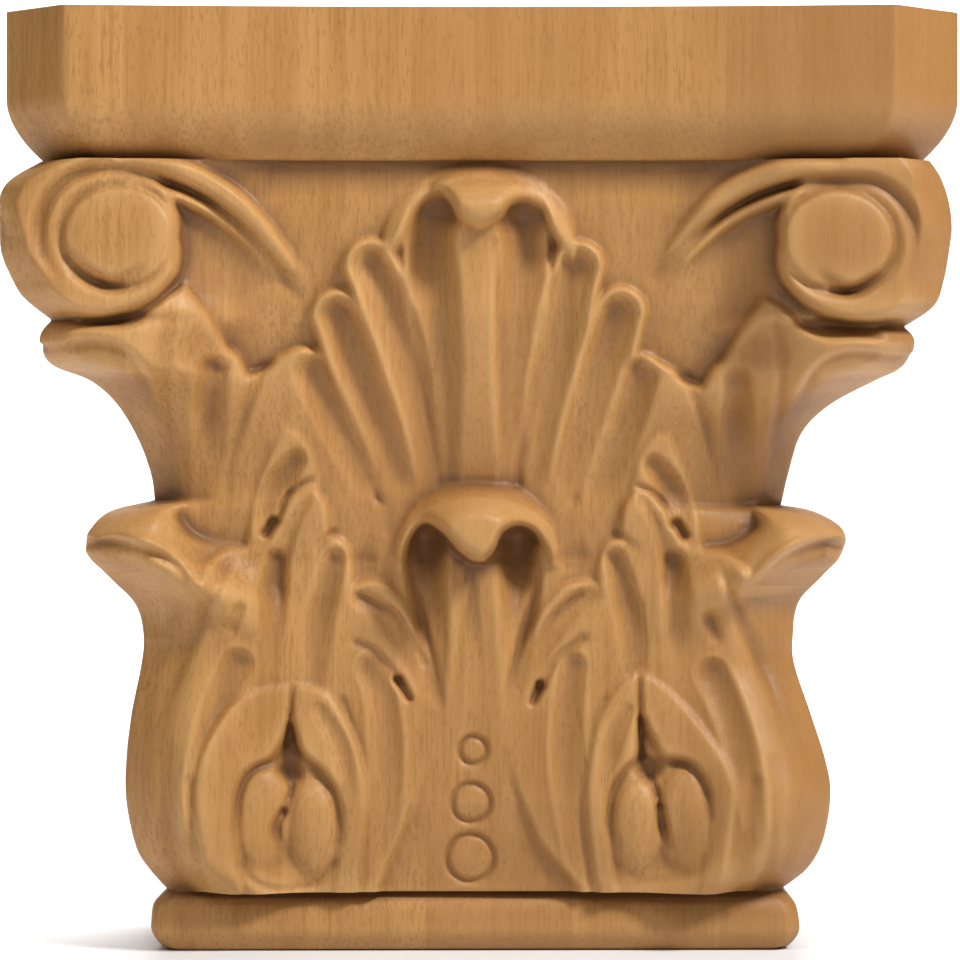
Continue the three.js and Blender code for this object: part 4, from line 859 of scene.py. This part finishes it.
def set_true(mesh):
    """Moves each point from where the drawing shows it to where it stands, and turns it to metres."""
    place = np.empty(len(mesh.vertices) * 3, np.float32)
    mesh.vertices.foreach_get("co", place)
    x, y, z = place.reshape(-1, 3).T
    down = (HEIGHT - z) / HEIGHT
    x = x * (1 + WIDER * smooth(down, WIDER_FROM, WIDER_TO))
    z = z + RISE * np.sin(np.pi * np.clip(down, 0, 1))
    mesh.vertices.foreach_set("co", (np.stack([x, y, z], 1) * METRES).astype(np.float32).ravel())
    mesh.update()


def capital():
    """The carved piece, thinned and with its surface marked for the wood."""
    mesh, hollows, rows = capital_mesh()
    piece = bpy.data.objects.new("capital_carved", mesh)
    bpy.context.scene.collection.objects.link(piece)
    bpy.context.view_layer.update()
    thinned(piece)
    piece.data.shade_smooth()
    piece.data.set_sharp_from_angle(angle=SHARP_ANGLE)
    mark_hollows(piece.data, hollows, rows)
    set_true(piece.data)
    return piece


# Wood: upright boards glued side by side, with fine upright grain. Lengths are in metres.
BOARD = 0.036
BOARD_OFFSET = 0.011
PALE = (0.475, 0.247, 0.077)
TAN = (0.37, 0.173, 0.044)
# Painted shade: the darker, warmer colour laid into the hollows, where shade falls.
HOLLOW_SHADE = (0.135, 0.057, 0.02)
STREAK = (0.25, 0.104, 0.022)
ROSY = (0.43, 0.19, 0.064)
SHADED = (0.285, 0.13, 0.035)
# Painted light: the paler colour laid on proud places, the other side of the painted shade in the hollows.
PROUD_LIGHT = (0.64, 0.375, 0.145)

# How the glue lines wander, and how far the pattern of one board lies from that of the next
WANDER_SIZE = (1.0, 1.0, 0.25)
WANDER_SCALE = 14.0
WANDER_DETAIL = 2.0
WANDER_BY = 0.004
BOARD_SHIFT = 3.0

# Each pattern of the wood: how closely it repeats along x, y and z, its scale, detail and roughness
PATTERNS = {
    "bands": ((1.0, 0.7, 0.07), 110.0, 3.0, 0.55),
    "grain": ((1.0, 1.0, 0.035), 900.0, 4.0, 0.6),
    "flecks": ((1.0, 1.0, 0.22), 1500.0, 2.0, 0.5),
    "cloud": ((1.0, 1.0, 0.5), 16.0, 3.0, 0.5),
}
BANDS_RANGE = (0.32, 0.68)

# Each colour laid over the wood: what it follows, where it starts and is full, its most, and the colour
LAYERS = [
    ("grain", 0.48, 0.7, 0.5, STREAK),
    ("flecks", 0.54, 0.68, 0.45, STREAK),
    ("cloud", 0.42, 0.7, 0.3, ROSY),
    ("board", 0.0, 1.0, 0.4, SHADED),
    ("right", 0.0, 0.09, 0.6, SHADED),
    # Painted shade, darkest in the deepest hollows.
    ("hollow", 0.15, 2.2, 0.85, HOLLOW_SHADE),
    # Painted light on the proud places, from the same map as the painted shade.
    ("hollow", -0.15, -1.2, 0.3, PROUD_LIGHT),
]

# The finish: how rough it is, and the marks the gouge left, strongest in the hollows
ROUGH = 0.40
ROUGH_BY_GRAIN = 0.22
SPECULAR = 0.35
CHATTER_SIZE = (0.35, 0.35, 1.0)
CHATTER_SCALE = 520.0
CHATTER_DETAIL = 1.0
CHATTER_ROUGHNESS = 0.4
CHATTER_RANGE = (-0.3, 0.8, 0.2, 1.7)
GRAIN_RELIEF = 0.6
BUMP_STRENGTH = 0.22
BUMP_DISTANCE = 0.0006


def linked(tree, kind, inputs=None, **settings):
    """A shader node with its settings, each input set to a value or joined to another node's output."""
    node = tree.nodes.new(kind)
    for name, value in settings.items():
        setattr(node, name, value)
    for name, value in (inputs or {}).items():
        if isinstance(value, bpy.types.NodeSocket):
            tree.links.new(value, node.inputs[name])
        else:
            node.inputs[name].default_value = value
    return node


def maths(tree, operation, first, second=0.0, third=0.0):
    """One step of arithmetic."""
    inputs = {0: first, 1: second, 2: third}
    return linked(tree, "ShaderNodeMath", inputs, operation=operation).outputs[0]


def ranged(tree, value, from_low, from_high, to_low=0.0, to_high=1.0):
    """A value carried over from one range to another, and held inside it."""
    inputs = {
        "Value": value,
        "From Min": from_low,
        "From Max": from_high,
        "To Min": to_low,
        "To Max": to_high,
    }
    return linked(tree, "ShaderNodeMapRange", inputs).outputs["Result"]


# Where the mix node keeps its share, its two colours and its result
MIX_SHARE = 0
MIX_COLOURS = (6, 7)
MIX_RESULT = 2


def blended(tree, share, *colours):
    """Two colours mixed by a share; each is typed or comes from another node."""
    node = linked(tree, "ShaderNodeMix", {MIX_SHARE: share}, data_type="RGBA", blend_type="MIX")
    for number, colour in zip(MIX_COLOURS, colours):
        if isinstance(colour, bpy.types.NodeSocket):
            tree.links.new(colour, node.inputs[number])
        else:
            node.inputs[number].default_value = (*colour, 1)
    return node.outputs[MIX_RESULT]


def noise(tree, place, size, scale, detail, roughness=0.5):
    """Noise stretched by a size in each direction."""
    moved = linked(tree, "ShaderNodeVectorMath", {0: place, 1: size}, operation="MULTIPLY").outputs[0]
    inputs = {"Vector": moved, "Scale": scale, "Detail": detail, "Roughness": roughness}
    return linked(tree, "ShaderNodeTexNoise", inputs).outputs["Fac"]


def board_tone(tree, place, x):
    """A random value for each board; the glue lines between boards wander a little."""
    wander = noise(tree, place, WANDER_SIZE, WANDER_SCALE, WANDER_DETAIL)
    wavy = maths(tree, "MULTIPLY_ADD", wander, WANDER_BY, x)
    moved = maths(tree, "ADD", wavy, BOARD_OFFSET)
    board = maths(tree, "FLOOR", maths(tree, "DIVIDE", moved, BOARD))
    random = linked(tree, "ShaderNodeTexWhiteNoise", {"W": board}, noise_dimensions="1D")
    return random.outputs["Value"]


def wood():
    """The honey-coloured wood, with painted shade darkening and warming its hollows and painted light on its
    proud places.
    """
    material = bpy.data.materials.new("carved_wood")
    material.use_nodes = True
    tree = material.node_tree
    shader = tree.nodes["Principled BSDF"]
    place = linked(tree, "ShaderNodeTexCoord").outputs["Object"]
    x = linked(tree, "ShaderNodeSeparateXYZ", {0: place}).outputs["X"]
    hollow = linked(tree, "ShaderNodeAttribute", attribute_name="hollow").outputs["Fac"]
    board = board_tone(tree, place, x)

    inputs = {0: 0.0, 1: maths(tree, "MULTIPLY", board, BOARD_SHIFT), 2: board}
    shift = linked(tree, "ShaderNodeCombineXYZ", inputs).outputs[0]
    apart = linked(tree, "ShaderNodeVectorMath", {0: place, 1: shift}, operation="ADD").outputs[0]
    values = {name: noise(tree, apart, *pattern) for name, pattern in PATTERNS.items()}
    values.update(board=board, right=x, hollow=hollow)

    colour = blended(tree, ranged(tree, values["bands"], *BANDS_RANGE), TAN, PALE)
    for name, start, full, most, laid in LAYERS:
        colour = blended(tree, ranged(tree, values[name], start, full, 0.0, most), colour, laid)
    tree.links.new(colour, shader.inputs["Base Color"])

    rough = maths(tree, "MULTIPLY_ADD", values["grain"], ROUGH_BY_GRAIN, ROUGH)
    tree.links.new(rough, shader.inputs["Roughness"])
    shader.inputs["Specular IOR Level"].default_value = SPECULAR

    chatter = noise(tree, place, CHATTER_SIZE, CHATTER_SCALE, CHATTER_DETAIL, CHATTER_ROUGHNESS)
    marks = maths(tree, "MULTIPLY", chatter, ranged(tree, hollow, *CHATTER_RANGE))
    height = maths(tree, "ADD", maths(tree, "MULTIPLY", values["grain"], GRAIN_RELIEF), marks)
    inputs = {"Height": height, "Strength": BUMP_STRENGTH, "Distance": BUMP_DISTANCE}
    bump = linked(tree, "ShaderNodeBump", inputs).outputs["Normal"]
    tree.links.new(bump, shader.inputs["Normal"])
    return material


# The floor: half its width, where it starts to sweep up, the radius of the sweep and the top of the wall
FLOOR_HALF = 3.2
SWEEP_START = 2.4
SWEEP_RADIUS = 0.7
SWEEP_STEPS = 12
WALL_TOP = 2.6
FLOOR_COLOUR = (0.82, 0.82, 0.82)
FLOOR_ROUGH = 0.9


def floor():
    """A pale floor that sweeps up into a wall far behind."""
    profile = [(-FLOOR_HALF, 0.0), (SWEEP_START, 0.0)]
    for k in range(1, SWEEP_STEPS + 1):
        turn = math.radians(90 * k / SWEEP_STEPS)
        away = SWEEP_START + SWEEP_RADIUS * math.sin(turn)
        profile.append((away, SWEEP_RADIUS * (1 - math.cos(turn))))
    profile.append((SWEEP_START + SWEEP_RADIUS, WALL_TOP))
    points = [(x, y, z) for y, z in profile for x in (-FLOOR_HALF, FLOOR_HALF)]
    faces = [(2 * k, 2 * k + 1, 2 * k + 3, 2 * k + 2) for k in range(len(profile) - 1)]
    mesh = bpy.data.meshes.new("floor")
    mesh.from_pydata(points, [], faces)
    mesh.shade_smooth()
    piece = bpy.data.objects.new("floor", mesh)
    bpy.context.scene.collection.objects.link(piece)
    paint = bpy.data.materials.new("pale_floor")
    paint.use_nodes = True
    shader = paint.node_tree.nodes["Principled BSDF"]
    shader.inputs["Base Color"].default_value = (*FLOOR_COLOUR, 1)
    shader.inputs["Roughness"].default_value = FLOOR_ROUGH
    mesh.materials.append(paint)


# Each light: where it stands, where it points, its size and its power in watts
MIDDLE = (0, 0, 0.115)
LIGHTS = {
    "key": ((0.75, -0.7, 1.05), MIDDLE, 0.3, 20),
    "fill": ((-0.45, -0.9, 1.1), MIDDLE, 0.7, 4.5),
    "wall": ((0.0, 1.5, 1.9), (0, 3.1, 0.4), 1.6, 60),
    "ground": ((0.0, 1.3, 2.0), (0, 1.3, 0), 1.6, 60),
}
SKY_STRENGTH = 0.16

# The camera stands straight before the front face, about as high as its middle
CAMERA_AWAY = 0.923
CAMERA_HEIGHT = 0.116
LENS = 146.2


def area_light(name, place, target, size, watts):
    """A round light that points from its place to its target."""
    data = bpy.data.lights.new(name, "AREA")
    data.shape = "DISK"
    data.size = size
    data.energy = watts
    lamp = bpy.data.objects.new(name, data)
    lamp.location = place
    away = np.subtract(place, target)
    flat = math.hypot(away[0], away[1])
    lamp.rotation_euler = (math.atan2(flat, away[2]), 0, math.atan2(away[0], -away[1]))
    bpy.context.scene.collection.objects.link(lamp)


def studio():
    """Soft light from above on the right, and the camera."""
    world = bpy.data.worlds.new("studio")
    world.use_nodes = True
    sky = world.node_tree.nodes["Background"]
    sky.inputs["Color"].default_value = (1, 1, 1, 1)
    sky.inputs["Strength"].default_value = SKY_STRENGTH
    bpy.context.scene.world = world
    for name, settings in LIGHTS.items():
        area_light(name, *settings)
    lens = bpy.data.cameras.new("camera")
    lens.lens = LENS
    camera = bpy.data.objects.new("camera", lens)
    camera.location = (0, -DEPTH / 2 * METRES - CAMERA_AWAY, CAMERA_HEIGHT)
    camera.rotation_euler = (math.pi / 2, 0, 0)
    bpy.context.scene.collection.objects.link(camera)
    bpy.context.scene.camera = camera
    bpy.context.scene.view_settings.view_transform = "Standard"


piece = capital()
piece.data.materials.clear()
piece.data.materials.append(wood())
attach(piece, "root")
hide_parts("capital")
floor()
studio()
